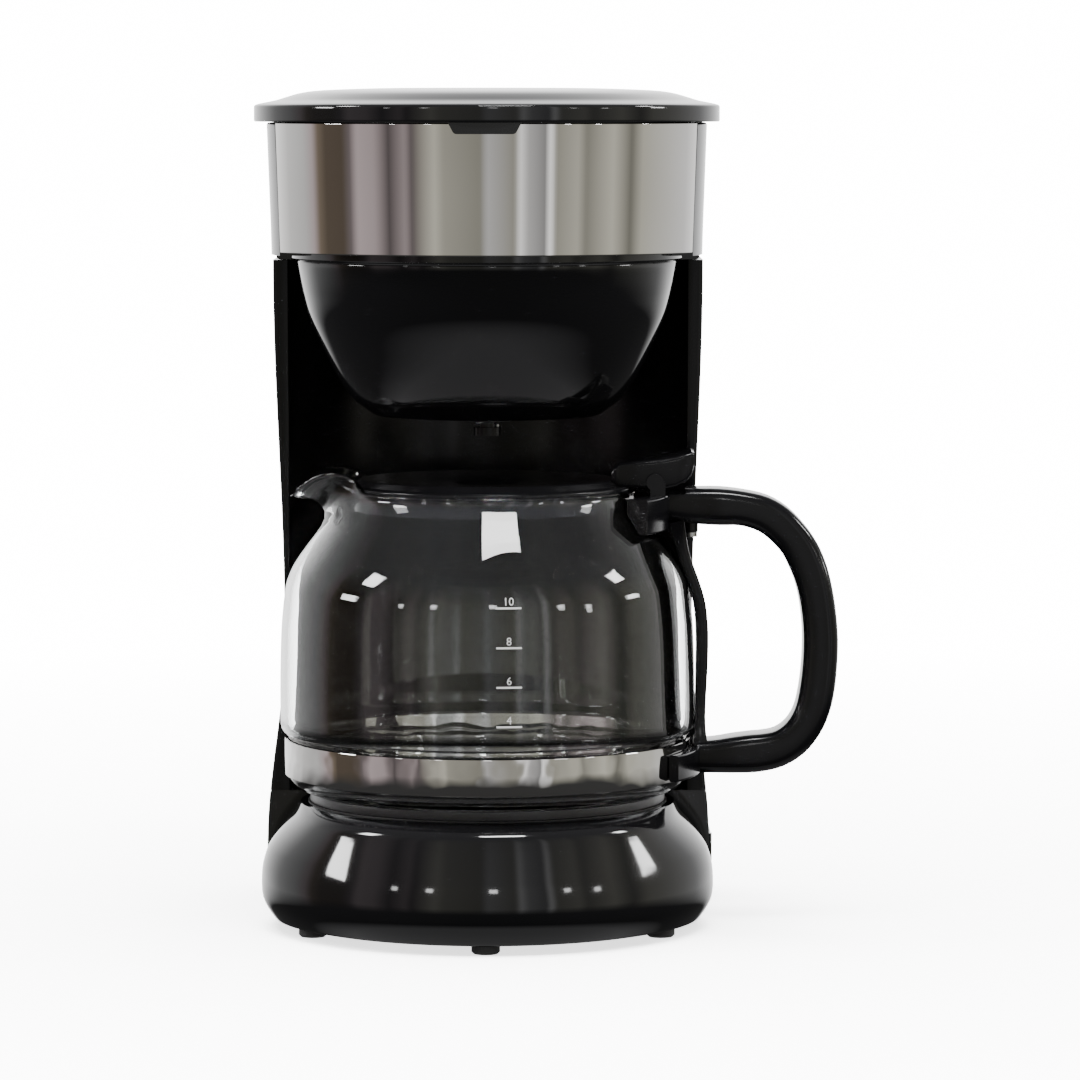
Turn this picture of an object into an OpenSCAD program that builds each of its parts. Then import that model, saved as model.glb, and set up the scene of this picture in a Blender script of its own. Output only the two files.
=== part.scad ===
// Drip coffee maker with a glass carafe on a hot plate.
// Everything is drawn about the carafe axis, with the table at z = 0, the front
// towards -Y and the carafe handle towards +X. place() then brings the middle
// of the footprint to the origin.

/* [Overall] */
// Height of the lid's crown above the table
machine_h = 311.5; // [309:0.5:314]
// Radius of the lid's rim
lid_r = 86; // [85.8:0.1:86.6]
// Distance from the carafe axis to the rear wall
rear_y = 112; // [111:0.5:114]
// Wall thickness of the mouldings
wall = 2.6; // [2.4:0.1:2.8]
// Gap between pieces that move against each other
gap = 0.3; // [0.3:0.01:0.35]

/* [Base] */
// Largest half width of the base behind the hot plate
base_half = 83.8; // [83:0.1:84.2]
// Height of the deck that carries the tower
deck_z = 46; // [45.5:0.1:46.4]
// Height of the hot plate's face
plate_z = 51; // [50.9:0.05:51.1]
// Radius of the hot plate
plate_r = 66; // [65:0.5:66.5]
// Radius of a rubber foot
foot_r = 5.2; // [4.5:0.1:5.3]
// Height of a rubber foot
foot_h = 3.9; // [3.8:0.1:4]

/* [Tower] */
// Half width at the waist
waist_half = 77; // [76.8:0.1:77.6]
// Height of the waist
waist_z = 105; // [100:1:110]
// Half width at the top
shoulder_half = 82.2; // [81.8:0.1:82.6]
// Radius of the hollow front wall around the carafe
bay_r = 82.5; // [82:0.1:82.8]
// Position of the wings' front faces
wing_y = 34; // [33:0.5:36]

/* [Brew head] */
// Lower edge of the rear housing
head_z = 246; // [245:0.5:247]
// Upper edge of the housing, under the lid
head_top_z = 298.7; // [298.4:0.1:298.8]
// Lower radius of the steel band
band_low_r = 79.6; // [79.4:0.1:80]
// Upper radius of the steel band
band_high_r = 81.3; // [81:0.1:81.5]
// Thickness of the steel band
band_t = 0.8; // [0.5:0.1:1]
// Half of the angle that the steel band wraps
band_half_angle = 71; // [66:1:74]
// Height of the floor that carries the filter basket
ledge_z = 283; // [282.8:0.1:283.2]

/* [Carafe] */
// Largest radius of the glass
glass_r = 77; // [76.8:0.1:77.2]
// Thickness of the glass
glass_t = 2.4; // [2.2:0.1:2.6]
// Height of the glass rim
rim_z = 162.5; // [162.3:0.1:162.6]
// Reach of the handle
handle_reach = 130.3; // [128:0.1:132]
// Depth of the handle from front to back
handle_depth = 22; // [18:0.5:24]

/* [Hidden] */
$fn = 96;
black = "#141416";
steel = "silver";
rubber = "#202020";

// Levels
foot_top = foot_h + 0.3;
base_low = 3.5;
lid_low = head_top_z + gap;
rim_top = lid_low + 6.6;
tank_low = deck_z + 20;
tank_high = ledge_z - wall - 0.5;

// Lid hinge across the rear wall
hinge_y = rear_y + 1.2;
hinge_z = 302.6;
hinge_r = 3.6;
pin_r = 1.5;
run = 0.05;

// Middle of the footprint
mid_x = (handle_reach - lid_r) / 2;
mid_y = (hinge_y + hinge_r - lid_r) / 2;

// Water path
pipe_x = 40;
pipe_y = 93;
heater_z = 36.8;
bend_r = 12;
hose_r = 6.2;

// Carafe lid hinge
lever_x = 62;
lever_z = 166.5;

// Drip stop levels
floor_z = 200;
stem_low = 183;

module place() translate([-mid_x, -mid_y, 0]) children();

// Extrudes an outline from z0 to z1
module rise(z0, z1) translate([0, 0, z0]) linear_extrude(z1 - z0) children();

// A straight round bar, or a tube when it has a bore
module bar(r, z0, z1, bore = 0) translate([0, 0, z0]) difference() {
    cylinder(r = r, h = z1 - z0);
    if (bore > 0) translate([0, 0, -1]) cylinder(r = bore, h = z1 - z0 + 2);
}

// A ring turned from an outline that is listed as [radius, height]
module turn(points, angle = 360, from = 0)
    rotate([0, 0, from]) rotate_extrude(angle = angle) polygon(points);

function arc(cx, cy, r, a0, a1, n) =
    [for (i = [0:n]) let (a = a0 + (a1 - a0) * i / n) [cx + r * cos(a), cy + r * sin(a)]];

// Outline with a round front about the axis, straight sides and round rear corners
module u_plan(r, back, corner) polygon(concat(
    arc(0, 0, r, 180, 360, 48),
    arc(r - corner, back - corner, corner, 0, 90, 10),
    arc(corner - r, back - corner, corner, 90, 180, 10)
));

// Outline with a straight front edge and round rear corners
module rear_plan(half, front, back, corner) polygon(concat(
    [[-half, front], [half, front]],
    arc(half - corner, back - corner, corner, 0, 90, 10),
    arc(corner - half, back - corner, corner, 90, 180, 10)
));

// Half width of the tower and the rear of the base at a height
function ease(a, b, t) = a + (b - a) * (1 - cos(180 * t)) / 2;
function half_at(z) =
    z >= waist_z ? ease(waist_half, shoulder_half, min(1, (z - waist_z) / (head_z - waist_z)))
    : ease(waist_half, base_half, min(1, (waist_z - z) / (waist_z - 25)));

// Everything between the waisted sides, which are pulled in by inset
module between_sides(z0, z1, inset) {
    steps = 14;
    right = [for (i = [0:steps]) let (z = z0 + (z1 - z0) * i / steps) [half_at(z) - inset, z]];
    left = [for (i = [steps:-1:0]) [-right[i][0], right[i][1]]];
    rotate([90, 0, 0]) translate([0, 0, -150]) linear_extrude(140) polygon(concat(right, left));
}

// ---- Base ----

// Domed front of the base as [radius, height]
dome = [
    [79, base_low], [83.2, 9.7], [84.2, 18.3], [83.6, 24], [82.2, 28.8],
    [78, 35.5], [71.2, 43.5], [69.6, 46.8]
];
front_bosses = [[-60, -14], [60, -14]];
rear_bosses = [[-60, 50], [60, 50]];
boss_places = concat(front_bosses, rear_bosses);
// Screw bosses grow down from the ceiling, which they enter by this much
boss_root = 1.5;
boss_r = 4.5;
plate_hole_r = 60;
// The rear moulding's deck ends here, around the dome's top
deck_hole_r = 71.2;
switch_y = 60;
switch_z = 20;
gland_x = -45;
gland_z = 22;

module dome_solid(inset) {
    last = len(dome) - 1;
    turn(concat(
        [[0, dome[0][1] - inset]],
        [for (i = [0:last]) [dome[i][0] - inset, dome[i][1] - (i == 0 || i == last ? inset : 0)]],
        [[0, dome[last][1] - inset]]
    ));
}

module base_block(inset) intersection() {
    rise(base_low - inset, deck_z - inset)
        rear_plan(base_half - inset, wing_y + inset, rear_y - inset, 26 - inset);
    between_sides(base_low - inset, deck_z - inset, inset);
}

module bosses(places) for (p = places) translate([p[0], p[1], 0])
    bar(boss_r, foot_top + 2.3, deck_z - wall + boss_root);

module boss_bores(places) for (p = places) translate([p[0], p[1], 0]) bar(1.4, 0, 20);

// Domed front of the base with the seat of the hot plate
module base_housing() color(black) place() difference() {
    union() {
        intersection() {
            difference() {
                dome_solid(0);
                dome_solid(wall);
                bar(plate_hole_r, 40, 60);
            }
            union() {
                translate([-100, -100, 0]) cube([200, 100 + wing_y + wall, 60]);
                rise(43, 60) square(200, center = true);
            }
        }
        bosses(front_bosses);
    }
    boss_bores(front_bosses);
}

// Rear of the base, which closes around the dome and carries the tower
module base_rear() color(black) place() difference() {
    union() {
        difference() {
            base_block(0);
            base_block(wall);
        }
        bosses(rear_bosses);
    }
    bar(deck_hole_r, 40, 60);
    intersection() {
        dome_solid(0);
        translate([-100, wing_y - 1, 0]) cube([200, wall + 1, 60]);
    }
    boss_bores(rear_bosses);
    // slots for the two hoses and the leads
    for (s = [-1, 1]) translate([s * pipe_x - 8, 74, deck_z - 10]) cube([16, 29, 20]);
    // opening for the switch
    translate([70, switch_y - 9.9, switch_z - 6.9]) cube([20, 19.8, 13.8]);
    // hole for the cord gland
    translate([gland_x, rear_y + 5, gland_z]) rotate([90, 0, 0]) cylinder(r = 6.2, h = 20);
}

module bottom_cover() color(black) place() difference() {
    rise(foot_top, foot_top + 2) union() {
        circle(75.6);
        rear_plan(75.6, wing_y + wall + 0.4, rear_y - wall - 0.6, 22);
    }
    for (p = boss_places) translate([p[0], p[1], 0]) bar(1.8, 0, 20);
    // cooling slots
    for (i = [-3:3]) translate([i * 11 - 2.5, -30, 0]) cube([5, 34, 20]);
    for (i = [-3:3]) translate([i * 11 - 2.5, 60, 0]) cube([5, 26, 20]);
}

module rubber_feet() color(rubber) place()
    for (p = [[0, -70], [-64, -30], [64, -30], [-62, 92], [62, 92]])
        translate([p[0], p[1], 0]) {
            bar(foot_r, 0.8, foot_top);
            cylinder(r1 = foot_r - 0.8, r2 = foot_r, h = 0.8);
        }

module screw(head_r, r, z_head, z_tip) {
    bar(head_r, z_head - 1.6, z_head);
    bar(r, z_head, z_tip);
}

module cover_screws() color(steel) place()
    for (p = boss_places) translate([p[0], p[1], 0]) screw(3, 1.35, foot_top - 0.05, foot_top + 12);

// ---- Hot plate and heater ----

module hot_plate() color("#1c1c1e") place() {
    turn([
        [0, plate_z - 1.2], [plate_r - 1.2, plate_z - 1.2], [plate_r - 1.2, plate_z - 3.5],
        [plate_r, plate_z - 3.5], [plate_r, plate_z - 0.8], [plate_r - 0.8, plate_z], [0, plate_z]
    ]);
    translate([0, 26, 0]) bar(2.6, 33, plate_z - 1, 1.2);
}

module plate_gasket() color(rubber) place()
    bar(plate_r + 0.8, 46.85, plate_z - 3.6, plate_hole_r + 1);

// Horseshoe of round section: a half ring at the front and two straight legs
module horseshoe(r, z, leg) {
    translate([0, 0, z]) rotate([0, 0, 180]) rotate_extrude(angle = 180)
        translate([pipe_x, 0]) circle(r);
    for (s = [-1, 1]) translate([s * pipe_x, 0, z]) rotate([-90, 0, 0])
        cylinder(r = r, h = leg);
}

module heating_element() color("#8a8078") place() {
    horseshoe(4.2, 45.5, 34);
    for (s = [-1, 1]) translate([s * pipe_x, 33, 45.5]) rotate([-90, 0, 0]) cylinder(r = 1.6, h = 9.5);
}

module heater_water_tube() color("#b8b8ba") place() difference() {
    horseshoe(4.4, heater_z, 52);
    horseshoe(3.2, heater_z, 60);
}

module element_clamp() color(steel) place() difference() {
    union() {
        translate([-48, 19, 30.6]) cube([96, 14, 1.5]);
        translate([-7, -9, 30.6]) cube([14, 29, 1.5]);
    }
    translate([0, 26, 0]) bar(1.8, 20, 40);
}

module clamp_screw() color(steel) place() translate([0, 26, 0]) screw(3.6, 1.15, 30.5, 44);

module thermostat() color("#3c3c40") place() {
    bar(6.4, 32.2, 42);
    bar(8.4, 42, plate_z - 1.3);
    for (s = [-1, 1]) translate([s * 5 - 1.6, -12, 36]) cube([3.2, 12, 0.8]);
}

module thermal_fuses() color("#b9a37a") place()
    for (s = [-1, 1]) translate([s * 18, -10, 46.5]) rotate([-90, 0, 0]) {
        cylinder(r = 2.2, h = 20);
        translate([0, 0, -6]) cylinder(r = 0.6, h = 32);
    }

// ---- Water path ----

// Round bar along a hose's route: a drop at the pipe position, a bend and a run
// forward to the heater tube
module hose_run(r, top, extra) {
    translate([0, pipe_y, heater_z + bend_r]) cylinder(r = r, h = top - heater_z - bend_r + extra);
    translate([0, pipe_y - bend_r, heater_z]) rotate([90, 0, 0])
        cylinder(r = r, h = pipe_y - bend_r - 44 + extra);
    translate([0, pipe_y - bend_r, heater_z + bend_r]) rotate([90, 0, 90])
        rotate([0, 0, -90]) rotate_extrude(angle = 90) translate([bend_r, 0]) circle(r);
}

module hose(side, top, bore_r) translate([side * pipe_x, 0, 0]) difference() {
    hose_run(hose_r, top, 0);
    hose_run(bore_r, top, 1);
}

module cold_water_hose() color("#d8d4cc") place() hose(1, 57, 4.5);

module hot_water_hose() color("#d8d4cc") place() hose(-1, 58, 4.5);

module hose_clips() color(steel) place() for (s = [-1, 1]) {
    translate([s * pipe_x, 51, heater_z]) rotate([90, 0, 0]) bar(7.2, 0, 4, hose_r + 0.05);
    translate([s * pipe_x, pipe_y, 0]) bar(7.2, 51.5, 55.5, hose_r + 0.05);
}

valve_low = 58.2;
ball_r = 2.3;

module check_valve_body() color("#e8e4da") place() translate([pipe_x, pipe_y, 0]) difference() {
    union() {
        bar(4.4, 49.5, 58);
        bar(7.4, 57.5, tank_low - 0.2);
        bar(4.2, tank_low - 1, tank_low + 3.5);
    }
    bar(1.5, 40, 80);
    bar(4.6, valve_low, tank_low - 1);
}

module check_valve_ball() color("#c8453a") place()
    translate([pipe_x, pipe_y, valve_low + gap + ball_r]) sphere(r = ball_r);

module tank_grommets() color(rubber) place() {
    translate([pipe_x, pipe_y, 0]) bar(7.1, tank_low, tank_low + 2.4, 4.25);
    translate([-pipe_x, pipe_y, 0]) bar(7.1, tank_low, tank_low + 2.4, 4.45);
}

module riser_tube() color("#e8e4da") place() translate([-pipe_x, pipe_y, 0])
    bar(4.4, 50, 284, 3.2);

module outlet_nozzle() color("#e8e4da") place() translate([-pipe_x, pipe_y, 0]) difference() {
    union() {
        bar(6.4, 274, 288);
        bar(3.6, 286, 292.4);
    }
    bar(4.45, 273, 284.2);
    bar(2.4, 280, 300);
}

// Crescent outline of the tank around the back of the carafe
gauge_x = 69;
gauge_y = 76;
module tank_plan(inset) difference() {
    rear_plan(73.2 - inset, wing_y + 5 + inset, rear_y - 4 - inset, 22 - inset);
    circle(bay_r + 4.5 + inset);
    translate([gauge_x - 7.5 - inset, gauge_y - 9 - inset]) square([30, 18 + 2 * inset]);
}

module water_tank() color("#2a2a2e") place() difference() {
    rise(tank_low, tank_high) tank_plan(0);
    rise(tank_low + 2.4, tank_high + 1) tank_plan(2.2);
    for (s = [-1, 1]) translate([s * pipe_x, pipe_y, 0]) bar(7.15, 50, 75);
    // feed to the gauge
    translate([50, gauge_y, tank_low + 8]) rotate([0, 90, 0]) cylinder(r = 2.6, h = 20);
}

module gauge_tube() color([0.85, 0.93, 0.98, 0.5]) place() difference() {
    union() {
        translate([gauge_x, gauge_y, 0]) bar(5.4, tank_low + 2, 238);
        translate([gauge_x - 9.6, gauge_y, tank_low + 8]) rotate([0, 90, 0]) cylinder(r = 2.5, h = 9);
    }
    translate([gauge_x, gauge_y, 0]) bar(4.2, tank_low + 4, 239);
    translate([gauge_x - 12, gauge_y, tank_low + 8]) rotate([0, 90, 0]) cylinder(r = 1.5, h = 12);
}

module float_ball() color("#c22a22") place() translate([gauge_x, gauge_y, 88]) sphere(r = 3.4);

// ---- Tower and brew head ----

window_low = 96;
window_high = 232;

module tower_column(inset) intersection() {
    rise(deck_z + (inset > 0 ? -1 : 0), head_z + (inset > 0 ? 1 : 0)) difference() {
        rear_plan(shoulder_half + 1 - inset, wing_y + inset, rear_y - inset, 26 - inset);
        circle(bay_r + inset);
    }
    between_sides(deck_z - 1, head_z + 1, inset);
}

module tower_housing() color(black) place() difference() {
    tower_column(0);
    tower_column(wall);
    translate([70, gauge_y - 5, window_low]) cube([20, 10, window_high - window_low]);
}

module water_window() color([0.8, 0.85, 0.9, 0.5]) place() intersection() {
    translate([70, gauge_y - 4.9, window_low + 0.1]) cube([20, 9.8, window_high - window_low - 0.2]);
    difference() {
        between_sides(window_low, window_high, 0.4);
        between_sides(window_low - 1, window_high + 1, 2);
    }
}

core_r = band_low_r - band_t - 0.3;
// Hollow that holds the basket
well_r = 70;
// Lower edge of the ears that carry the lid's hinge
ear_low = 288;

// Bore for the lid's hinge pin
module hinge_bore(r) translate([-60, hinge_y, hinge_z]) rotate([0, 90, 0]) cylinder(r = r, h = 120);

module upper_housing() color(black) place() difference() {
    union() {
        rise(head_z + 5.6, head_top_z) u_plan(core_r, rear_y, 24);
        // rear body, flush with the band
        intersection() {
            rise(head_z, head_top_z) u_plan(band_high_r, rear_y, 26);
            translate([-100, gap - (band_low_r - band_t) * cos(band_half_angle), 240]) cube([200, 200, 70]);
        }
        for (s = [-1, 1]) for (x = [11.5, 42.5]) translate([s * x - 2, 0, 0]) {
            translate([0, rear_y - wall, ear_low])
                cube([4, hinge_y + hinge_r - rear_y + wall, hinge_z - ear_low]);
            translate([0, hinge_y, hinge_z]) rotate([0, 90, 0]) cylinder(r = hinge_r, h = 4);
        }
    }
    // room above the basket floor
    rise(ledge_z, head_top_z + 1) u_plan(core_r - wall, rear_y - wall, 20);
    // hollow around the basket well
    difference() {
        rise(head_z + 8, ledge_z - wall) u_plan(core_r - wall, rear_y - wall, 20);
        bar(well_r + wall, 240, 300);
    }
    // open underside above the tower
    rise(head_z - 1, head_z + 9) difference() {
        rear_plan(core_r - wall, wing_y + wall, rear_y - wall, 20);
        circle(bay_r + wall);
    }
    bar(well_r, 240, ledge_z - wall);
    bar(72.4, 240, head_z + 5.7);
    bar(66, 240, ledge_z + 1);
    // filling mouth over the tank
    rise(ledge_z - 5, ledge_z + 1) tank_plan(4);
    hinge_bore(pin_r + 0.03);
    // knuckle clearance in the rear wall
    for (s = [-1, 1]) translate([s * 27 - 13.4, hinge_y, hinge_z]) rotate([0, 90, 0])
        cylinder(r = 4, h = 26.8);
}

module steel_band() color(steel) place()
    turn([
        [band_low_r - band_t, head_z + 5.4], [band_low_r, head_z + 5.4],
        [band_high_r, head_top_z], [band_high_r - band_t, head_top_z]
    ], 2 * band_half_angle, 270 - band_half_angle);

// Outside of the bowl as [radius, height]
bowl = [
    [42.6, 191.4], [46.3, 194], [50.5, 197.7], [55.5, 205.1], [61.1, 216.3],
    [65.9, 227.4], [68.3, 236.6], [70, 246], [70, head_z + 1.9]
];

// Opening in the bottom of the bowl and height of that bottom
outlet_r = 12.6;
bowl_low = 190.5;

module brew_funnel() color(black) place() turn(concat(
    [[outlet_r, bowl_low]], bowl,
    [[72.2, head_z + 1.9], [72.2, head_z + 5.4], [66.6, head_z + 5.4]],
    [for (i = [len(bowl) - 2:-1:0]) [bowl[i][0] - 2.5, bowl[i][1] + (i == 0 ? 2.4 : 1)]],
    [[outlet_r, bowl_low + 2.4]]
));

// ---- Switch and mains entry ----

rocker_x = base_half - 6.2;
rocker_tilt = 7;

module switch_bezel() color("#1a1a1c") place() translate([0, switch_y, switch_z]) difference() {
    union() {
        translate([base_half + 0.1, -11.5, -7.5]) cube([1, 23, 15]);
        translate([base_half - 14, -9.8, -6.8]) cube([14.2, 19.6, 13.6]);
    }
    translate([base_half - 12.8, -8.6, -5.7]) cube([20, 17.2, 11.4]);
    translate([rocker_x, 0, -10]) cylinder(r = 1.05, h = 20);
}

// Carries its children at the rocker's pivot, turned to its rest position
module at_rocker() translate([rocker_x, switch_y, switch_z]) rotate([0, 0, -rocker_tilt]) children();

module switch_rocker() color(black) place() at_rocker() {
    difference() {
        translate([0, 0, -5.4]) linear_extrude(10.8)
            polygon([[-4, -4], [5, -7.5], [7.4, -7.5], [6.2, 0], [7.4, 7.5], [5, 7.5], [-4, 4]]);
        translate([5.4, 3.4, -2.6]) cube([6, 3.2, 5.2]);
    }
    translate([0, 0, -6.6]) cylinder(r = 1, h = 13.2);
}

module switch_lens() color("#b02018") place() at_rocker()
    translate([5.5, 3.5, -2.5]) cube([1.3, 3, 5]);

module cord_gland() color(rubber) place()
    translate([gland_x, 0, gland_z]) rotate([-90, 0, 0]) difference() {
    union() {
        translate([0, 0, rear_y - 10]) cylinder(r = 6.1, h = 12);
        translate([0, 0, rear_y + 0.1]) cylinder(r = 9, h = 1.6);
        translate([0, 0, rear_y - wall - 1.8]) cylinder(r = 8, h = 1.7);
        translate([0, 0, rear_y + 1]) cylinder(r = 5.2, h = 3.6);
    }
    translate([0, 0, 90]) cylinder(r = 3.6, h = 50);
}

module terminal_block() color("#efe9d8") place() difference() {
    translate([gland_x - 9, 74, 14]) cube([18, 16, 12]);
    for (s = [-1, 1]) translate([gland_x + s * 4.5, 82, 20]) bar(2, 0, 20);
    for (s = [-1, 1]) translate([gland_x + s * 4.5, 60, 20]) rotate([-90, 0, 0])
        cylinder(r = 1.6, h = 40);
}

// A lead that runs forward and to the side, with a crimp at its corner
module lead(x0, y0, x1, y1, z) {
    translate([x0, y0, z]) rotate([-90, 0, 0]) cylinder(r = 1.2, h = y1 - y0);
    translate([x0 - 1.7, y0 - 1.7, z - 1.7]) cube(3.4);
    translate([min(x0, x1), y0, z]) rotate([0, 90, 0]) cylinder(r = 1.2, h = abs(x1 - x0));
}

module power_leads() color("#7a2a24") place() {
    lead(gland_x - 4.5, 66, -70, 76, 20);
    lead(gland_x + 4.5, 60, 66, 76, 20);
}

// ---- Lid ----

// Lid outside as [inset from the rim, height]
crown = [
    [0, rim_top - 1.2], [2.2, rim_top], [8.5, machine_h - 4.5],
    [18, machine_h - 1.5], [46, machine_h]
];
lid_back = rear_y - 4;
// Lower edge of the lid's thumb tab
tab_low = 294.8;

module lid_shell() {
    rise(lid_low, crown[0][1]) u_plan(lid_r, lid_back, 24);
    hull() for (c = crown) rise(c[1] - 0.2, c[1]) u_plan(lid_r - c[0], lid_back - c[0] * 0.6, 24);
}

module top_lid() color(black) place() difference() {
    union() {
        lid_shell();
        // thumb tab over the band
        rotate([90, 0, 0]) translate([0, 0, 82.6]) linear_extrude(3.1)
            polygon([
                [-11.4, tab_low], [11.4, tab_low], [13.2, lid_low],
                [13.2, lid_low + 3], [-13.2, lid_low + 3], [-13.2, lid_low]
            ]);
        // hinge knuckles
        for (s = [-1, 1]) translate([s * 27 - 13, 0, 0]) {
            translate([0, lid_back - 1, hinge_z - 2]) cube([26, hinge_y - lid_back + 1, 4]);
            translate([0, hinge_y, hinge_z]) rotate([0, 90, 0]) cylinder(r = hinge_r, h = 26);
        }
    }
    rise(lid_low - 1, rim_top - 2.4) u_plan(lid_r - wall, lid_back - wall, 21);
    rise(lid_low, machine_h - 5.4) u_plan(lid_r - 14, lid_back - 12, 20);
    rise(lid_low, machine_h - 3) u_plan(lid_r - 32, lid_back - 30, 20);
    hinge_bore(pin_r + run);
}

tray_low = 294;
tray_r = 36;
channel_len = sqrt(pipe_x * pipe_x + pipe_y * pipe_y);
channel_turn = atan2(pipe_y, -pipe_x);

module lid_shower_tray() color("#2a2a2e") place() difference() {
    union() {
        rise(lid_low + 1, lid_low + 3) u_plan(lid_r - wall - 0.4, lid_back - wall - 0.4, 20);
        bar(tray_r, tray_low, lid_low + 2);
        rotate([0, 0, channel_turn]) translate([20, -6, tray_low]) cube([channel_len - 14, 12, 6]);
    }
    bar(tray_r - 1.6, tray_low + 1.6, lid_low + 4);
    rotate([0, 0, channel_turn]) translate([20, -4.4, tray_low + 1.6]) cube([channel_len - 15.6, 8.8, 8]);
    // spray holes in two rings
    for (a = [0:45:315]) rotate([0, 0, a]) translate([24, 0, 0]) bar(1.3, 290, 299);
    for (a = [0:60:300]) rotate([0, 0, a]) translate([12, 0, 0]) bar(1.3, 290, 299);
    translate([-pipe_x, pipe_y, 0]) bar(2.8, 290, 299);
}

module lid_seal() color("#8a3a30") place()
    translate([-pipe_x, pipe_y, 0]) bar(5.4, 292.8, 293.9, 2.8);

module lid_hinge_pin() color(steel) place() translate([-45.5, hinge_y, hinge_z]) rotate([0, 90, 0])
    cylinder(r = pin_r, h = 91);

// ---- Filter basket and filter ----

basket_top = ledge_z + gap + 2;
basket_wall = 2;
basket_slope = (64.2 - 47) / (basket_top - floor_z);
function basket_r(z) = 47 + basket_slope * (z - floor_z);

module filter_basket() color("#26262a") place() difference() {
    union() {
        turn([
            [0, floor_z], [47, floor_z], [basket_r(basket_top), basket_top - 0.01],
            [basket_r(basket_top) - basket_wall, basket_top - 0.01],
            [47 + basket_slope * 2.4 - basket_wall, floor_z + 2.4], [0, floor_z + 2.4]
        ]);
        bar(68.6, ledge_z + gap, basket_top, basket_r(basket_top) - 1.4);
        for (s = [0, 180]) rotate([0, 0, s]) translate([66, -11, ledge_z + gap]) cube([7, 22, 2]);
        bar(10.6, 188.6, floor_z + 1, 8.8);
    }
    // outlet with three spokes around the stem guide
    difference() {
        bar(6, floor_z - 1, floor_z + 3);
        bar(4.6, floor_z - 2, floor_z + 4);
        for (a = [0:120:240]) rotate([0, 0, a]) translate([0, -0.8, floor_z - 2]) cube([8, 1.6, 6]);
    }
    bar(3.15, floor_z - 2, floor_z + 4);
}

filter_top = basket_top + gap + 1.5;
filter_low = floor_z + 10.5;
function filter_r(z) = 42.4 + (58 - 42.4) * (z - filter_low) / (basket_top - filter_low);

module filter_frame() color("#1e1e22") place() {
    bar(63.6, basket_top + gap, filter_top, 57.4);
    for (a = [0:60:300])
        turn([
            [filter_r(filter_low), filter_low], [filter_r(filter_low) + 1.4, filter_low],
            [filter_r(basket_top) + 1.4, basket_top + gap + 0.2],
            [filter_r(basket_top), basket_top + gap + 0.2]
        ], 6, a + 27);
    bar(43.8, filter_low, filter_low + 2.2, 40.6);
    translate([-10, 50.5, basket_top + gap]) cube([20, 9, 1.5]);
}

module filter_mesh() color("#c9a648") place() turn([
    [0, filter_low + 2.4], [filter_r(filter_low + 2.4) - 0.4, filter_low + 2.4],
    [filter_r(basket_top) - 0.9, basket_top], [filter_r(basket_top) - 1.4, basket_top],
    [filter_r(filter_low + 2.9) - 0.9, filter_low + 2.9], [0, filter_low + 2.9]
]);

module drip_stop_stem() color("#26262a") place() {
    bar(5, stem_low, stem_low + 3);
    bar(3, stem_low + 2, 205);
    bar(9.4, 203.4, 205);
}

module drip_stop_seal() color("#b5433a") place() bar(9.2, floor_z + 2.75, 203.35, 6.6);

// A plain sleeve stands for the coil spring
module drip_stop_spring() color(steel) place() bar(4.6, stem_low + 3.1, floor_z - 0.1, 3.4);

// ---- Carafe ----

// Outside of the glass as [radius, height]
glass_base_z = plate_z + 0.35;
glass_side = [
    [74.2, 71.5], [76.7, 74.5], [glass_r, 95], [76.3, 113], [75.2, 126.6], [73.7, 131.8],
    [71.1, 136.6], [66.6, 143.3], [61.3, 150.8], [58.2, 156.2], [55.5, 160.7], [55.5, rim_z]
];
glass_foot = [[66, glass_base_z], [70.5, glass_base_z + 1.2], [73, glass_base_z + 3.4], [74.2, 57.5]];

module glass_solid(t) turn(concat(
    [[0, glass_base_z + t * 1.2]],
    [for (p = glass_foot) [p[0] - t, p[1] + (p[1] < glass_base_z + 3 ? t * 1.2 : t * 0.5)]],
    [for (p = glass_side) [p[0] - t, p[1] + (p[1] == rim_z && t > 0 ? 1 : 0)]],
    [[0, rim_z + (t > 0 ? 1 : 0)]]
));

// Spout as a beak: wide where it leaves the neck and narrow at the tip
module beak(t) hull() {
    translate([-49, 0, 152 + t]) cylinder(r = 9 - t, h = 10, $fn = 24);
    for (s = [-1, 1]) translate([-50, s * (17 - t), 162 + t]) sphere(r = 2.4, $fn = 12);
    translate([-66.5 + t, 0, 162.2 + t]) sphere(r = 3.6, $fn = 16);
    translate([-50, 0, 166 + 6 * t]) cylinder(r = 12 - t, h = 0.6, $fn = 24);
}

module carafe_glass() color([0.75, 0.8, 0.82, 0.4]) place() difference() {
    union() {
        glass_solid(0);
        beak(0);
    }
    glass_solid(glass_t);
    beak(1.9);
    bar(53.1, 150.8, 190);
    bar(54, rim_z + 0.1, 190);
}

module carafe_band() color(steel) place() bar(75.4, 57.4, 70.8, 74.5);

screw_x = 75.8;

// Bore for the carafe lid's pin
module lever_bore(r) translate([lever_x, 20, lever_z]) rotate([90, 0, 0]) cylinder(r = r, h = 40);

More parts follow.
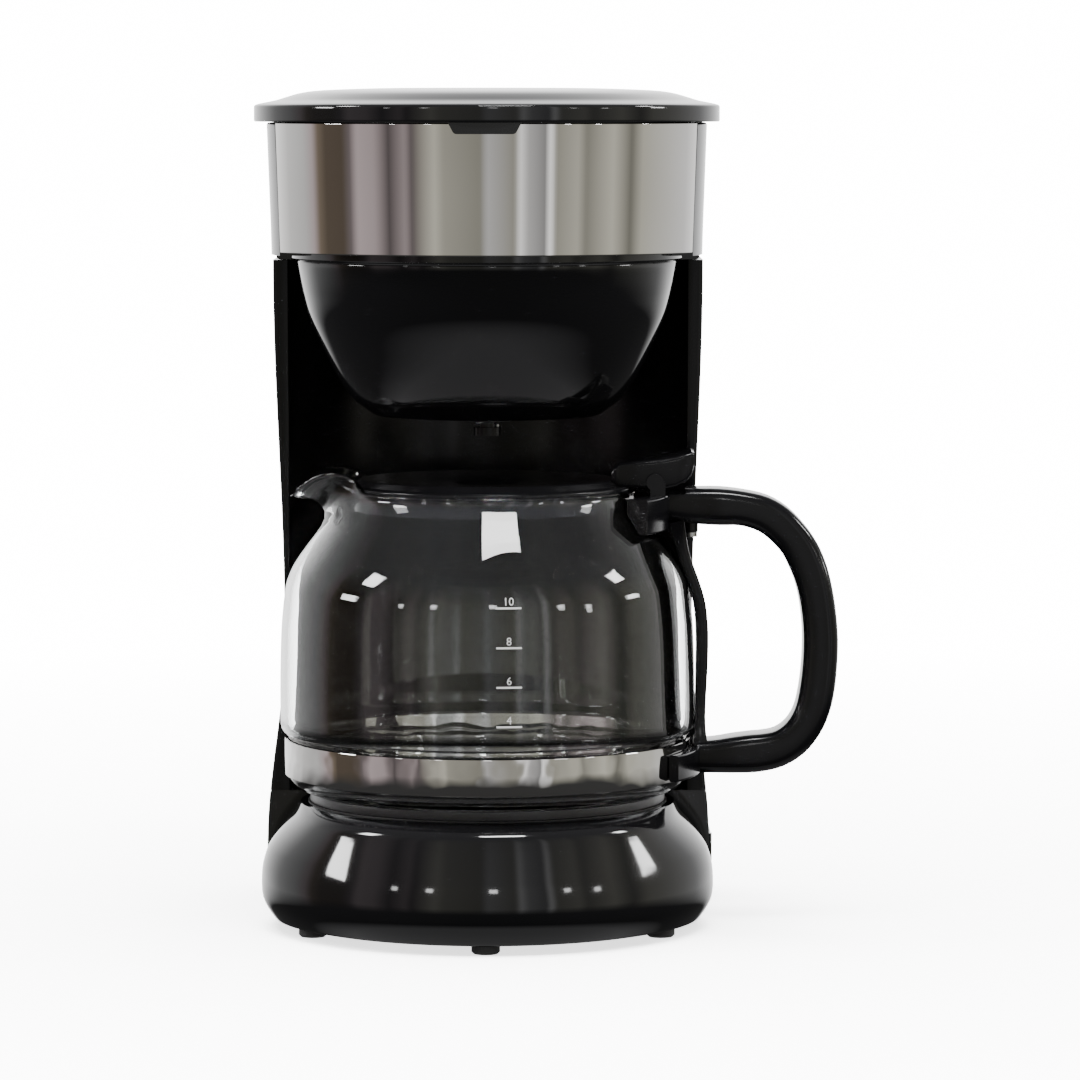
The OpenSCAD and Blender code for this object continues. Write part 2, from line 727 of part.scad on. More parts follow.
module carafe_handle() color(black) place() difference() {
    union() {
        rotate([90, 0, 0]) translate([0, 0, -handle_depth / 2]) linear_extrude(handle_depth) polygon([
            // outside, from the top root over the grip to the lower root
            [65, 163.6], [90, 163.7], [103.7, 160.7], [113, 155], [118, 149.6], [122, 144],
            [126.5, 133], [129, 121.8], [handle_reach, 106], [129.4, 94], [127.7, 83], [123.3, 71.8],
            [119, 66.3], [111.5, 60.7], [104, 58.3], [97, 57.7], [77, 57.7],
            // inside of the grip, back up to the top arm
            [77, 70], [105, 72.6], [111.4, 77], [115, 84], [116.8, 96], [117.3, 109],
            [116, 122.7], [113, 132], [108.7, 140.7], [102, 147], [94, 150], [76, 151], [70, 152]
        ]);
        // strap that follows the glass
        rotate([90, 0, 0]) translate([0, 0, -7]) linear_extrude(14) polygon([
            [70.5, 152.5], [73.7, 142.5], [78.6, 130], [81.3, 120], [82.2, 109], [81.8, 96], [81, 82],
            [80.5, 69], [77, 69], [77.3, 82], [77.5, 96], [77.6, 109], [77, 120], [75.2, 128.5],
            [73.2, 134.5], [69.4, 141], [66.6, 146], [65.5, 150], [65.5, 152.5]
        ]);
        // ring segment around the steel band
        turn([[75.7, 58], [79.2, 58], [79.2, 67.6], [75.7, 67.6]], 56, -28);
        // ring segment around the neck
        turn([[59.4, 155.8], [64.4, 148.4], [68, 148.4], [68, 161.4], [59.4, 161.4]], 60, -30);
        // boss for the clamp screw
        translate([screw_x, 0, 0]) bar(2.5, 147, 152);
        // ears for the lid pin
        for (s = [-1, 1]) translate([lever_x - 1.8, s * 15.2 - 1.8, 158]) {
            cube([5.6, 3.6, lever_z - 158]);
            translate([1.8, 0, lever_z - 158]) rotate([-90, 0, 0]) cylinder(r = 3.2, h = 3.6);
        }
    }
    lever_bore(pin_r + 0.03);
    translate([screw_x, 0, 0]) bar(1.35, 140, 159);
    // room for the lid's lever block
    translate([50, -13.1, 161.6]) cube([23.5, 26.2, 10]);
}

module handle_screw() color(steel) place() translate([screw_x, 0, 0]) screw(2.2, 1.3, 146.9, 158);

module carafe_lid() color(black) place() difference() {
    union() {
        turn([
            [49.2, 155], [50.8, 155], [50.8, 162.9], [53.6, 162.9], [53.6, 164.6], [49.2, 164.6],
            [46.5, 167], [12, 165.4], [6, 163], [6, 158.6], [8, 158.6], [8, 161.6], [12, 163.4],
            [46, 164.8], [49.2, 162.8]
        ]);
        // lever block over the handle root
        translate([0, 12.6, 0]) rotate([90, 0, 0]) linear_extrude(25.2) polygon([
            [46, 164.2], [46, 172.6], [48, 173.5], [68, 175], [75, 177.7], [76.6, 177], [75.8, 168.4],
            [72.6, 165.2], [66, 163.2], [60, 163.2], [54, 163.6], [53, 164.2]
        ]);
    }
    lever_bore(pin_r + run);
}

module carafe_lid_pin() color(steel) place() translate([lever_x, 16.9, lever_z]) rotate([90, 0, 0])
    cylinder(r = pin_r, h = 33.8);

base_housing();
base_rear();
bottom_cover();
rubber_feet();
cover_screws();
hot_plate();
plate_gasket();
heating_element();
heater_water_tube();
element_clamp();
clamp_screw();
thermostat();
thermal_fuses();
cold_water_hose();
hot_water_hose();
hose_clips();
check_valve_body();
check_valve_ball();
tank_grommets();
riser_tube();
outlet_nozzle();
water_tank();
gauge_tube();
float_ball();
water_window();
tower_housing();
upper_housing();
steel_band();
brew_funnel();
switch_bezel();
switch_rocker();
switch_lens();
cord_gland();
terminal_block();
power_leads();
top_lid();
lid_shower_tray();
lid_seal();
lid_hinge_pin();
filter_basket();
filter_frame();
filter_mesh();
drip_stop_stem();
drip_stop_seal();
drip_stop_spring();
carafe_glass();
carafe_band();
carafe_handle();
handle_screw();
carafe_lid();
carafe_lid_pin();
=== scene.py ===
"""Looks of a drip coffee maker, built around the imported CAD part.

Shapes are written in millimetres about the carafe axis, with the table at
height 0, the front towards -Y and the carafe handle towards +X. to_row()
brings them into the row frame in metres.
"""
import bmesh
import bpy
from math import acos, asin, atan2, cos, degrees, pi, radians, sin, sqrt, tan
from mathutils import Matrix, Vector


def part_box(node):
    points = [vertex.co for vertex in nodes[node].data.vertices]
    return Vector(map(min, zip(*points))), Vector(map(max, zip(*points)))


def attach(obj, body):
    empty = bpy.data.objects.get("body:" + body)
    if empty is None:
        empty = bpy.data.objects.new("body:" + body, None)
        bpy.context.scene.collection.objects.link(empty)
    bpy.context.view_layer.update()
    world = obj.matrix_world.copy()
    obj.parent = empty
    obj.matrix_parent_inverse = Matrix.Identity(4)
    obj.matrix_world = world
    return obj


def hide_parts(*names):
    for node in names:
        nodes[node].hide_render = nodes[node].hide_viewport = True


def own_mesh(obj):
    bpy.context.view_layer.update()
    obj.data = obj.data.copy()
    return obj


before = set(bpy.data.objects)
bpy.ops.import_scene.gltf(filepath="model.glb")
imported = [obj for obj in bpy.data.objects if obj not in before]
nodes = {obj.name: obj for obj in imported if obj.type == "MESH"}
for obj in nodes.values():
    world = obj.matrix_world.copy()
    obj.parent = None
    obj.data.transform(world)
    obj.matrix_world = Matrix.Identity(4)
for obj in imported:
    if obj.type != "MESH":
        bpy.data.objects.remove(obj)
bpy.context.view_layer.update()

MM = 0.001
TAU = 2 * pi
plate_low, plate_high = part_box("hot_plate")
AXIS_X = (plate_low.x + plate_high.x) / 2
AXIS_Y = (plate_low.y + plate_high.y) / 2

# Sizes shared with the CAD part
LID_R, LID_LOW, LID_BACK = 86.0, 299.0, 108.0
HINGE_Y, HINGE_Z, HINGE_R = 113.2, 302.6, 3.6
KNUCKLE_X, KNUCKLE_HALF = 27.0, 13.0
REAR_Y, REAR_CORNER = 112.0, 26.0
WALL = 2.6
BASE_HALF, BASE_LOW = 83.8, 3.5
DECK_Z = 46.0
WAIST_HALF, WAIST_Z, HIP_Z = 77.0, 105.0, 25.0
SHOULDER_HALF = 81.0
BAY_R = 82.5
WING_Y = 34.0
HEAD_Z, HEAD_TOP_Z = 246.0, 298.7
BAND_LOW_R, BAND_HIGH_R, BAND_T = 79.6, 81.3, 0.8
BAND_HALF_ANGLE = 71
PLATE_Z, PLATE_R = 51.0, 66.0
RIM_Z = 162.5
GAUGE_Y, GAUGE_LOW, GAUGE_HIGH = 76.0, 96.0, 232.0
SWITCH_Y, SWITCH_Z = 60.0, 20.0
GLAND_X, GLAND_Z, GLAND_R = -45.0, 22.0, 6.2
PIPE_X = 40.0


def to_row(p):
    """A point in metres in the row frame."""
    return Vector((p[0] * MM + AXIS_X, p[1] * MM + AXIS_Y, p[2] * MM))


# ---------------------------------------------------------------- geometry

def fillet(points, radii, steps=4, closed=True):
    """Rounds the corners of a flat outline. radii is one number or one per point."""
    n = len(points)
    out = []
    for i, p in enumerate(points):
        r = radii if isinstance(radii, (int, float)) else radii[i]
        if r <= 0 or (not closed and i in (0, n - 1)):
            out.append(tuple(p))
            continue
        p = Vector(p)
        a, b = Vector(points[i - 1]) - p, Vector(points[(i + 1) % n]) - p
        la, lb = a.length, b.length
        a.normalize()
        b.normalize()
        angle = acos(max(-1, min(1, a.dot(b))))
        if angle > radians(178):
            out.append(tuple(p))
            continue
        cut = min(r / tan(angle / 2), 0.48 * la, 0.48 * lb)
        start, end = p + a * cut, p + b * cut
        for k in range(steps + 1):
            t = k / steps
            out.append(tuple(start * (1 - t) ** 2 + p * 2 * t * (1 - t) + end * t * t))
    return out


def smooth_line(points, steps=4, closed=False):
    """A Catmull-Rom curve through the points."""
    n = len(points)
    out = []
    last = n if closed else n - 1
    for i in range(last):
        p = [Vector(points[(i + k) % n]) if closed else Vector(points[min(max(i + k, 0), n - 1)])
             for k in (-1, 0, 1, 2)]
        for k in range(steps):
            t = k / steps
            out.append(tuple(0.5 * (2 * p[1] + (p[2] - p[0]) * t
                                    + (2 * p[0] - 5 * p[1] + 4 * p[2] - p[3]) * t * t
                                    + (3 * p[1] - p[0] - 3 * p[2] + p[3]) * t ** 3)))
    if not closed:
        out.append(tuple(points[-1]))
    return out


def loft(rings, loop=True, wrap=False, caps=True):
    """Faces between rings of equally many points. loop joins each ring's ends,
    wrap joins the last ring to the first, caps closes the two end rings."""
    count = len(rings[0])
    verts = [v for ring in rings for v in ring]
    faces = []
    pairs = [(i, i + 1) for i in range(len(rings) - 1)] + ([(len(rings) - 1, 0)] if wrap else [])
    for i, j in pairs:
        for k in range(count if loop else count - 1):
            m = (k + 1) % count
            faces.append((i * count + k, i * count + m, j * count + m, j * count + k))
    if caps and not wrap:
        faces.append(tuple(range(count)))
        faces.append(tuple((len(rings) - 1) * count + k for k in range(count)))
    return verts, faces


def spin(profile, steps=128, start=0, sweep=360, deform=None):
    """Turns a closed outline of (radius, height) about the axis. Angles are in degrees."""
    whole = sweep >= 360
    rings = []
    for i in range(steps if whole else steps + 1):
        a = radians(start + sweep * i / steps)
        ring = [(r * cos(a), r * sin(a), z) for r, z in profile]
        rings.append([deform(p) for p in ring] if deform else ring)
    return loft(rings, wrap=whole, caps=not whole)


def block(x0, x1, y0, y1, z0, z1, round_z=0.0, steps=3):
    """A box whose upright edges are rounded."""
    plan = fillet([(x0, y0), (x1, y0), (x1, y1), (x0, y1)], round_z, steps)
    return loft([[(x, y, z) for x, y in plan] for z in (z0, z1)])


def to_mesh(name, parts):
    """One mesh from (points, faces) parts, with its normals outwards."""
    verts, faces = [], []
    for v, f in parts:
        base = len(verts)
        verts += [to_row(p) for p in v]
        faces += [tuple(base + i for i in face) for face in f]
    mesh = bpy.data.meshes.new(name)
    mesh.from_pydata(verts, [], faces)
    bm = bmesh.new()
    bm.from_mesh(mesh)
    bmesh.ops.remove_doubles(bm, verts=bm.verts, dist=2e-6)
    bmesh.ops.dissolve_degenerate(bm, edges=bm.edges, dist=1e-6)
    bmesh.ops.recalc_face_normals(bm, faces=bm.faces)
    bm.to_mesh(mesh)
    bm.free()
    return mesh


def add_object(name, mesh):
    obj = bpy.data.objects.new(name, mesh)
    bpy.context.scene.collection.objects.link(obj)
    return obj


def shade(mesh, angle):
    """Smooth shading that keeps edges sharper than the angle."""
    mesh.shade_smooth()
    mesh.set_sharp_from_angle(angle=radians(angle))


def apply_modifiers(obj):
    """Turns what the modifiers make into the object's own mesh."""
    dg = bpy.context.evaluated_depsgraph_get()
    mesh = bpy.data.meshes.new_from_object(obj.evaluated_get(dg))
    obj.modifiers.clear()
    old = obj.data
    obj.data = mesh
    bpy.data.meshes.remove(old)


def combine(obj, others, operation="DIFFERENCE"):
    """Cuts the other parts out of obj, or adds them to it."""
    for part in others:
        cutter = add_object("cutter", to_mesh("cutter", [part]))
        mod = obj.modifiers.new("bool", "BOOLEAN")
        mod.operation = operation
        mod.solver = "EXACT"
        mod.object = cutter
        bpy.context.view_layer.update()
        apply_modifiers(obj)
        mesh = cutter.data
        bpy.data.objects.remove(cutter)
        bpy.data.meshes.remove(mesh)


def piece(name, parts, material, body, replaces=(), angle=32, cuts=(), adds=()):
    """A visible piece that rides on a body and stands in for the replaced CAD nodes."""
    obj = add_object(name, to_mesh(name, parts))
    combine(obj, adds, "UNION")
    combine(obj, cuts)
    shade(obj.data, angle)
    obj.data.materials.clear()
    obj.data.materials.append(material)
    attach(obj, body)
    if replaces:
        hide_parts(*replaces)
    return obj


def soften(obj, width):
    """Rounds the sharp edges by width millimetres."""
    mod = obj.modifiers.new("edges", "BEVEL")
    mod.width = width * MM
    mod.segments = 2
    mod.limit_method = "ANGLE"
    mod.angle_limit = radians(35)
    mod.use_clamp_overlap = True
    mod.harden_normals = False


# --------------------------------------------------------------- materials

def node_tree(name):
    """A new material with an empty principled shader and its coordinates."""
    mat = bpy.data.materials.new(name)
    mat.use_nodes = True
    tree = mat.node_tree
    tree.nodes.clear()
    out = tree.nodes.new("ShaderNodeOutputMaterial")
    shader = tree.nodes.new("ShaderNodeBsdfPrincipled")
    tree.links.new(shader.outputs[0], out.inputs[0])
    coord = tree.nodes.new("ShaderNodeTexCoord")
    return mat, tree, shader, coord


def noise(tree, coord, scale, detail=3.0, stretch=(1, 1, 1)):
    """Noise over the object's own coordinates, stretched along an axis."""
    mapping = tree.nodes.new("ShaderNodeMapping")
    mapping.inputs["Scale"].default_value = stretch
    tree.links.new(coord.outputs["Object"], mapping.inputs["Vector"])
    tex = tree.nodes.new("ShaderNodeTexNoise")
    tex.inputs["Scale"].default_value = scale
    tex.inputs["Detail"].default_value = detail
    tree.links.new(mapping.outputs[0], tex.inputs["Vector"])
    return tex.outputs["Fac"]


def ranged(tree, value, low, high, from_low=0.3, from_high=0.7):
    """Maps a value from its usual range onto low to high."""
    node = tree.nodes.new("ShaderNodeMapRange")
    node.inputs["From Min"].default_value = from_low
    node.inputs["From Max"].default_value = from_high
    node.inputs["To Min"].default_value = low
    node.inputs["To Max"].default_value = high
    tree.links.new(value, node.inputs["Value"])
    return node.outputs[0]


def tinted(tree, value, dark, light):
    """Blends two colours by a value."""
    ramp = tree.nodes.new("ShaderNodeValToRGB")
    ramp.color_ramp.elements[0].position = 0.3
    ramp.color_ramp.elements[1].position = 0.7
    ramp.color_ramp.elements[0].color = (*dark, 1)
    ramp.color_ramp.elements[1].color = (*light, 1)
    tree.links.new(value, ramp.inputs[0])
    return ramp.outputs[0]


def bumped(tree, shader, value, strength, distance=0.0002):
    bump = tree.nodes.new("ShaderNodeBump")
    bump.inputs["Strength"].default_value = strength
    bump.inputs["Distance"].default_value = distance
    tree.links.new(value, bump.inputs["Height"])
    tree.links.new(bump.outputs[0], shader.inputs["Normal"])


def moulded(name, dark, light, rough, grain=900, grain_strength=0.1, metal=0.0, patch=40,
            ior=1.5):
    """A surface with slow patches of colour and gloss and a fine grain."""
    mat, tree, shader, coord = node_tree(name)
    slow = noise(tree, coord, patch, 2.0)
    fine = noise(tree, coord, grain, 4.0)
    tree.links.new(tinted(tree, slow, dark, light), shader.inputs["Base Color"])
    tree.links.new(ranged(tree, slow, rough[0], rough[1]), shader.inputs["Roughness"])
    shader.inputs["Metallic"].default_value = metal
    shader.inputs["IOR"].default_value = ior
    bumped(tree, shader, fine, grain_strength)
    return mat


gloss_black = moulded("gloss_black", (0.0045, 0.0045, 0.005), (0.0065, 0.0065, 0.0072),
                      (0.05, 0.09), grain=260, grain_strength=0.02, patch=14)
satin_black = moulded("satin_black", (0.004, 0.004, 0.0046), (0.007, 0.007, 0.0078),
                      (0.14, 0.22), grain=1800, grain_strength=0.06, ior=1.3)
handle_black = moulded("handle_black", (0.004, 0.004, 0.0046), (0.006, 0.006, 0.007),
                       (0.12, 0.2), grain=1500, grain_strength=0.05, ior=1.34)
liner_black = moulded("liner_black", (0.018, 0.018, 0.02), (0.03, 0.03, 0.034),
                      (0.42, 0.55), grain=2200, grain_strength=0.25)
# Painted shade: a darker, less reflective copy of the black plastic, standing in for the shadow that
# the funnel's overhang casts on the tower and the drip stop stem
painted_shade_black = moulded("painted_shade_black", (0.003, 0.003, 0.0034), (0.005, 0.005, 0.0056),
                      (0.16, 0.26), grain=900, grain_strength=0.03, ior=1.32)
rubber = moulded("rubber", (0.012, 0.012, 0.012), (0.022, 0.022, 0.022), (0.6, 0.75), grain=2600,
                 grain_strength=0.4)
zinc = moulded("zinc", (0.5, 0.5, 0.5), (0.66, 0.66, 0.64), (0.22, 0.36), grain=1400,
               grain_strength=0.15, metal=1.0)
plate_coating = moulded("plate_coating", (0.012, 0.012, 0.013), (0.026, 0.026, 0.028),
                        (0.3, 0.42), grain=3200, grain_strength=0.35)
silicone_red = moulded("silicone_red", (0.24, 0.05, 0.04), (0.34, 0.08, 0.06), (0.5, 0.6))
aluminium = moulded("aluminium", (0.55, 0.55, 0.54), (0.72, 0.72, 0.7), (0.3, 0.45), grain=700,
                    grain_strength=0.3, metal=1.0)
hose_silicone = moulded("hose_silicone", (0.62, 0.6, 0.55), (0.78, 0.76, 0.7), (0.35, 0.5))
white_plastic = moulded("white_plastic", (0.66, 0.64, 0.58), (0.78, 0.76, 0.7), (0.32, 0.42))
phenolic = moulded("phenolic", (0.03, 0.03, 0.032), (0.06, 0.06, 0.065), (0.4, 0.5))
woven_sleeve = moulded("woven_sleeve", (0.3, 0.24, 0.13), (0.62, 0.54, 0.36), (0.75, 0.85),
                       grain=2500, grain_strength=0.8, patch=1200)
lead_sleeve = moulded("lead_sleeve", (0.16, 0.03, 0.025), (0.34, 0.08, 0.06), (0.75, 0.85),
                      grain=2500, grain_strength=0.8, patch=1500)
red_plastic = moulded("red_plastic", (0.42, 0.015, 0.01), (0.55, 0.03, 0.02), (0.15, 0.25))
white_print = moulded("white_print", (0.75, 0.75, 0.74), (0.88, 0.88, 0.87), (0.45, 0.6),
                      grain=3000, grain_strength=0.3)


def steel_material(name, rough, wave=0.0):
    """Polished sheet: fine lines along the band blur reflections up and down. wave
    is how much the pressed sheet undulates."""
    mat, tree, shader, coord = node_tree(name)
    slow = noise(tree, coord, 9, 2.0)
    lines = noise(tree, coord, 60, 5.0, (1, 1, 60))
    tree.links.new(tinted(tree, slow, (0.56, 0.545, 0.53), (0.66, 0.65, 0.635)),
                   shader.inputs["Base Color"])
    tree.links.new(ranged(tree, lines, rough[0], rough[1]), shader.inputs["Roughness"])
    shader.inputs["Metallic"].default_value = 1.0
    if wave:
        bumped(tree, shader, noise(tree, coord, 45, 2.0), wave, 0.0012)
    else:
        bumped(tree, shader, lines, 0.02, 0.00003)
    return mat


band_steel = steel_material("band_steel", (0.015, 0.035))
carafe_steel = steel_material("carafe_steel", (0.02, 0.05), 0.9)


def glass_material(name, tint, rough, ior):
    """Clear glass or plastic with slow waves in its surface."""
    mat, tree, shader, coord = node_tree(name)
    slow = noise(tree, coord, 12, 2.0)
    tree.links.new(tinted(tree, slow, tint, tuple(min(1, c + 0.02) for c in tint)),
                   shader.inputs["Base Color"])
    tree.links.new(ranged(tree, slow, rough[0], rough[1]), shader.inputs["Roughness"])
    shader.inputs["Transmission Weight"].default_value = 1.0
    shader.inputs["IOR"].default_value = ior
    shader.inputs["Specular IOR Level"].default_value = 0.36
    bumped(tree, shader, slow, 0.03, 0.001)
    return mat


clear_glass = glass_material("clear_glass", (0.95, 0.96, 0.96), (0.0, 0.01), 1.42)
clear_plastic = glass_material("clear_plastic", (0.8, 0.82, 0.84), (0.05, 0.12), 1.45)


def gold_mesh_material():
    """A fine metal weave: two crossed sets of waves."""
    mat, tree, shader, coord = node_tree("gold_mesh")
    waves = []
    for axis in ("X", "Z"):
        wave = tree.nodes.new("ShaderNodeTexWave")
        wave.bands_direction = axis
        wave.inputs["Scale"].default_value = 420
        tree.links.new(coord.outputs["Object"], wave.inputs["Vector"])
        waves.append(wave.outputs["Fac"])
    both = tree.nodes.new("ShaderNodeMath")
    both.operation = "MAXIMUM"
    tree.links.new(waves[0], both.inputs[0])
    tree.links.new(waves[1], both.inputs[1])
    tree.links.new(tinted(tree, both.outputs[0], (0.08, 0.055, 0.02), (0.72, 0.52, 0.2)),
                   shader.inputs["Base Color"])
    shader.inputs["Metallic"].default_value = 1.0
    shader.inputs["Roughness"].default_value = 0.35
    bumped(tree, shader, both.outputs[0], 0.6, 0.0003)
    return mat


gold_mesh = gold_mesh_material()

# Material of each CAD node
CAD_MATERIALS = {
    gloss_black: ["base_housing", "base_rear", "tower_housing", "upper_housing",
                  "brew_funnel", "top_lid", "switch_rocker"],
    satin_black: ["bottom_cover", "switch_bezel", "carafe_handle", "carafe_lid"],
    liner_black: ["water_tank", "lid_shower_tray", "filter_basket", "filter_frame"],
    # The drip stop stem gets the darker copy too: painted shade under the funnel
    painted_shade_black: ["drip_stop_stem"],
    band_steel: ["steel_band", "carafe_band"],
    zinc: ["cover_screws", "clamp_screw", "hose_clips", "element_clamp", "lid_hinge_pin",
           "carafe_lid_pin", "handle_screw", "drip_stop_spring"],
    rubber: ["rubber_feet", "cord_gland", "tank_grommets", "plate_gasket"],
    plate_coating: ["hot_plate"],
    silicone_red: ["lid_seal", "drip_stop_seal"],
    aluminium: ["heating_element", "heater_water_tube"],
    hose_silicone: ["cold_water_hose", "hot_water_hose"],
    white_plastic: ["check_valve_body", "riser_tube", "outlet_nozzle", "terminal_block"],
    phenolic: ["thermostat"],
    woven_sleeve: ["thermal_fuses"],
    lead_sleeve: ["power_leads"],
    red_plastic: ["float_ball", "check_valve_ball", "switch_lens"],
    clear_plastic: ["water_window", "gauge_tube"],
    clear_glass: ["carafe_glass"],
    gold_mesh: ["filter_mesh"],
}
for material, names in CAD_MATERIALS.items():
    for name in names:
        slots = nodes[name].data.materials
        if not slots:
            slots.append(material)
        for i in range(len(slots)):
            slots[i] = material

# CAD nodes whose edges are rounded, by millimetres
ROUNDED = {
    0.5: ["switch_bezel", "cord_gland", "water_tank"],
    0.4: ["switch_rocker", "filter_basket", "lid_shower_tray", "bottom_cover"],
    0.3: ["filter_frame", "rubber_feet", "outlet_nozzle"],
    0.2: ["handle_screw", "cover_screws", "drip_stop_stem"],
}
for width, names in ROUNDED.items():
    for name in names:
        soften(nodes[name], width)


# --------------------------------------------------------------------- lid

def u_outline(r, back, corner, front_steps=72, corner_steps=8, side_steps=5, back_steps=6):
    """Round front about the axis, straight sides and round rear corners."""
    corner = min(corner, r - 0.4)
    out = [(r * cos(radians(a)), r * sin(radians(a)))
           for a in [180 + 180 * i / front_steps for i in range(front_steps + 1)]]
    out += [(r, (back - corner) * i / side_steps) for i in range(1, side_steps)]
    out += [(r - corner + corner * cos(t), back - corner + corner * sin(t))
            for t in [pi / 2 * i / corner_steps for i in range(corner_steps + 1)]]
    out += [((r - corner) * (1 - 2 * i / back_steps), back) for i in range(1, back_steps)]
    out += [(corner - r + corner * cos(t), back - corner + corner * sin(t))
            for t in [pi / 2 + pi / 2 * i / corner_steps for i in range(corner_steps + 1)]]
    out += [(-r, (back - corner) * (1 - i / side_steps)) for i in range(1, side_steps)]
    return out


# Inset from the rim and height, from the centre underneath over the rim to the crown
LID_UNDER = [(82, 308.2), (33, 308.2), (31.4, 306.3), (15, 306), (13.4, 303.4), (2.6, 303.2),
             (2.6, 299.5), (2.1, LID_LOW)]
LID_OVER = smooth_line([(0.5, LID_LOW), (0, 299.6), (0, 302.4), (0.05, 304.5), (0.6, 305.2),
                        (2.2, 305.7), (5, 306.25), (8.5, 307.0), (13, 308.4), (18, 309.7),
                        (26, 310.6), (46, 311.3), (66, 311.48), (82, 311.5)], 3)


def lid_ring(inset, z):
    """The lid's outline at a height. The rear edge draws in less than the sides."""
    inset = max(0.02, inset)
    plan = u_outline(LID_R - inset, LID_BACK - 0.6 * inset, 24)
    return [(x, y, z) for x, y in plan]


def lid_tab():
    """Thumb tab over the band, which tapers downwards."""
    front = fillet([(-10.9, 294.9), (10.9, 294.9), (13.2, 299.2), (13.2, 302.4), (-13.2, 302.4),
                    (-13.2, 299.2)], [1.6, 1.6, 0.6, 0.4, 0.4, 0.6], 4)
    bulge = 0.006
    return loft([[(x * s, y + x * x * bulge, z) for x, z in front]
                 for y, s in ((-82.7, 1.0), (-85.1, 1.0), (-85.6, 0.985))])


def knuckle(x0, x1, y, z, r, steps=24):
    """A barrel along x with softened ends."""
    return loft([[(x, y + r * cos(TAU * i / steps) * k, z + r * sin(TAU * i / steps) * k)
                  for i in range(steps)]
                 for x, k in ((x0, 0.9), (x0 + 0.4, 1), (x1 - 0.4, 1), (x1, 0.9))])


lid_parts = [loft([lid_ring(*p) for p in LID_UNDER + LID_OVER]), lid_tab()]
for middle in (-KNUCKLE_X, KNUCKLE_X):
    x0, x1 = middle - KNUCKLE_HALF, middle + KNUCKLE_HALF
    lid_parts.append(knuckle(x0, x1, HINGE_Y, HINGE_Z, HINGE_R))
    lid_parts.append(block(x0, x1, LID_BACK - 1, HINGE_Y, HINGE_Z - 2, HINGE_Z + 2))
piece("lid_shell", lid_parts, gloss_black, "lid", ("top_lid",))


# ---------------------------------------------------------- head and funnel

BAND_Z = HEAD_Z + 5.4


def band_radius(z):
    """The band tapers downwards."""
    return BAND_LOW_R + (BAND_HIGH_R - BAND_LOW_R) * (z - BAND_Z) / (HEAD_TOP_Z - BAND_Z)


band_corners = [(BAND_LOW_R - BAND_T, BAND_Z)]
for z in (BAND_Z, BAND_Z + 0.6, BAND_Z + 1.4, HEAD_TOP_Z - 1.4, HEAD_TOP_Z - 0.6, HEAD_TOP_Z):
    band_corners.append((band_radius(z), z))
band_corners.append((BAND_HIGH_R - BAND_T, HEAD_TOP_Z))
band_profile = fillet(band_corners, [0.25, 0.25, 0, 0, 0, 0, 0.25, 0.25], 2)
piece("head_band", [spin(band_profile, 110, 270 - BAND_HALF_ANGLE, 2 * BAND_HALF_ANGLE)],
      band_steel, "machine", ("steel_band",))

GAP = 0.15
CORE_R = BAND_LOW_R - BAND_T - GAP
WELL_R, WELL_MOUTH_R, OPENING_R = 70.0, 72.4, 66.0
LEDGE_Z = 283.0
EAR_T = 4.0
REAR_FRONT = GAP - (BAND_LOW_R - BAND_T) * cos(radians(BAND_HALF_ANGLE))


def tank_outline(inset):
    """Crescent of the water tank around the back of the carafe."""
    half, front, back, corner = 73.2 - inset, WING_Y + 5 + inset, REAR_Y - 4 - inset, 22 - inset
    bay = BAY_R + 4.5 + inset
    a0 = degrees(asin(front / bay))
    right = []
    if bay * cos(radians(a0)) < half:
        right = [(half, front)]
    else:
        a0 = degrees(acos(half / bay))
    right += [(half - corner + corner * cos(t), back - corner + corner * sin(t))
              for t in [pi / 2 * i / 10 for i in range(11)]]
    arc = [180 - a0 - (180 - 2 * a0) * i / 48 for i in range(49)]
    return (right + [(-x, y) for x, y in reversed(right)]
            + [(bay * cos(radians(a)), bay * sin(radians(a))) for a in arc])


def plan_solid(plan, z0, z1):
    """An upright solid on a flat outline."""
    return loft([[(x, y, z) for x, y in plan] for z in (z0, z1)])


def rear_level(z, inset):
    """The rear housing's outline at a height. It tapers with the band."""
    r = band_radius(max(z, BAND_Z))
    return [(x, y, z) for x, y in u_outline(r - inset, REAR_Y - inset, REAR_CORNER)]


REAR_Z = HEAD_Z + 1.2
REAR_LEVELS = [(REAR_Z, 1.0), (REAR_Z + 0.3, 0.4), (REAR_Z + 1.0, 0.0), (260, 0), (275, 0),
               (290, 0), (HEAD_TOP_Z - 0.7, 0), (HEAD_TOP_Z - 0.2, 0.25), (HEAD_TOP_Z, 0.7)]
rear_body = loft([rear_level(z, c) for z, c in REAR_LEVELS])
front_cut = block(-120, 120, -120, REAR_FRONT, 200, 320)
core_body = plan_solid(u_outline(CORE_R, REAR_Y - 1, 24), HEAD_Z + 5.6, HEAD_TOP_Z - 0.2)
head_cuts = [
    plan_solid(u_outline(CORE_R - WALL, REAR_Y - WALL, 20), LEDGE_Z, HEAD_TOP_Z + 1),
    spin([(0, HEAD_Z - 6), (WELL_MOUTH_R, HEAD_Z - 6), (WELL_MOUTH_R, HEAD_Z + 5.7),
          (WELL_R, HEAD_Z + 5.7), (WELL_R, LEDGE_Z - WALL), (OPENING_R, LEDGE_Z - WALL),
          (OPENING_R, LEDGE_Z + 1), (0, LEDGE_Z + 1)], 96),
    plan_solid(tank_outline(4), HEAD_Z - 6, LEDGE_Z + 1),
    block(-120, 120, -120, WING_Y - 0.4, 200, BAND_Z - 1.2),
]
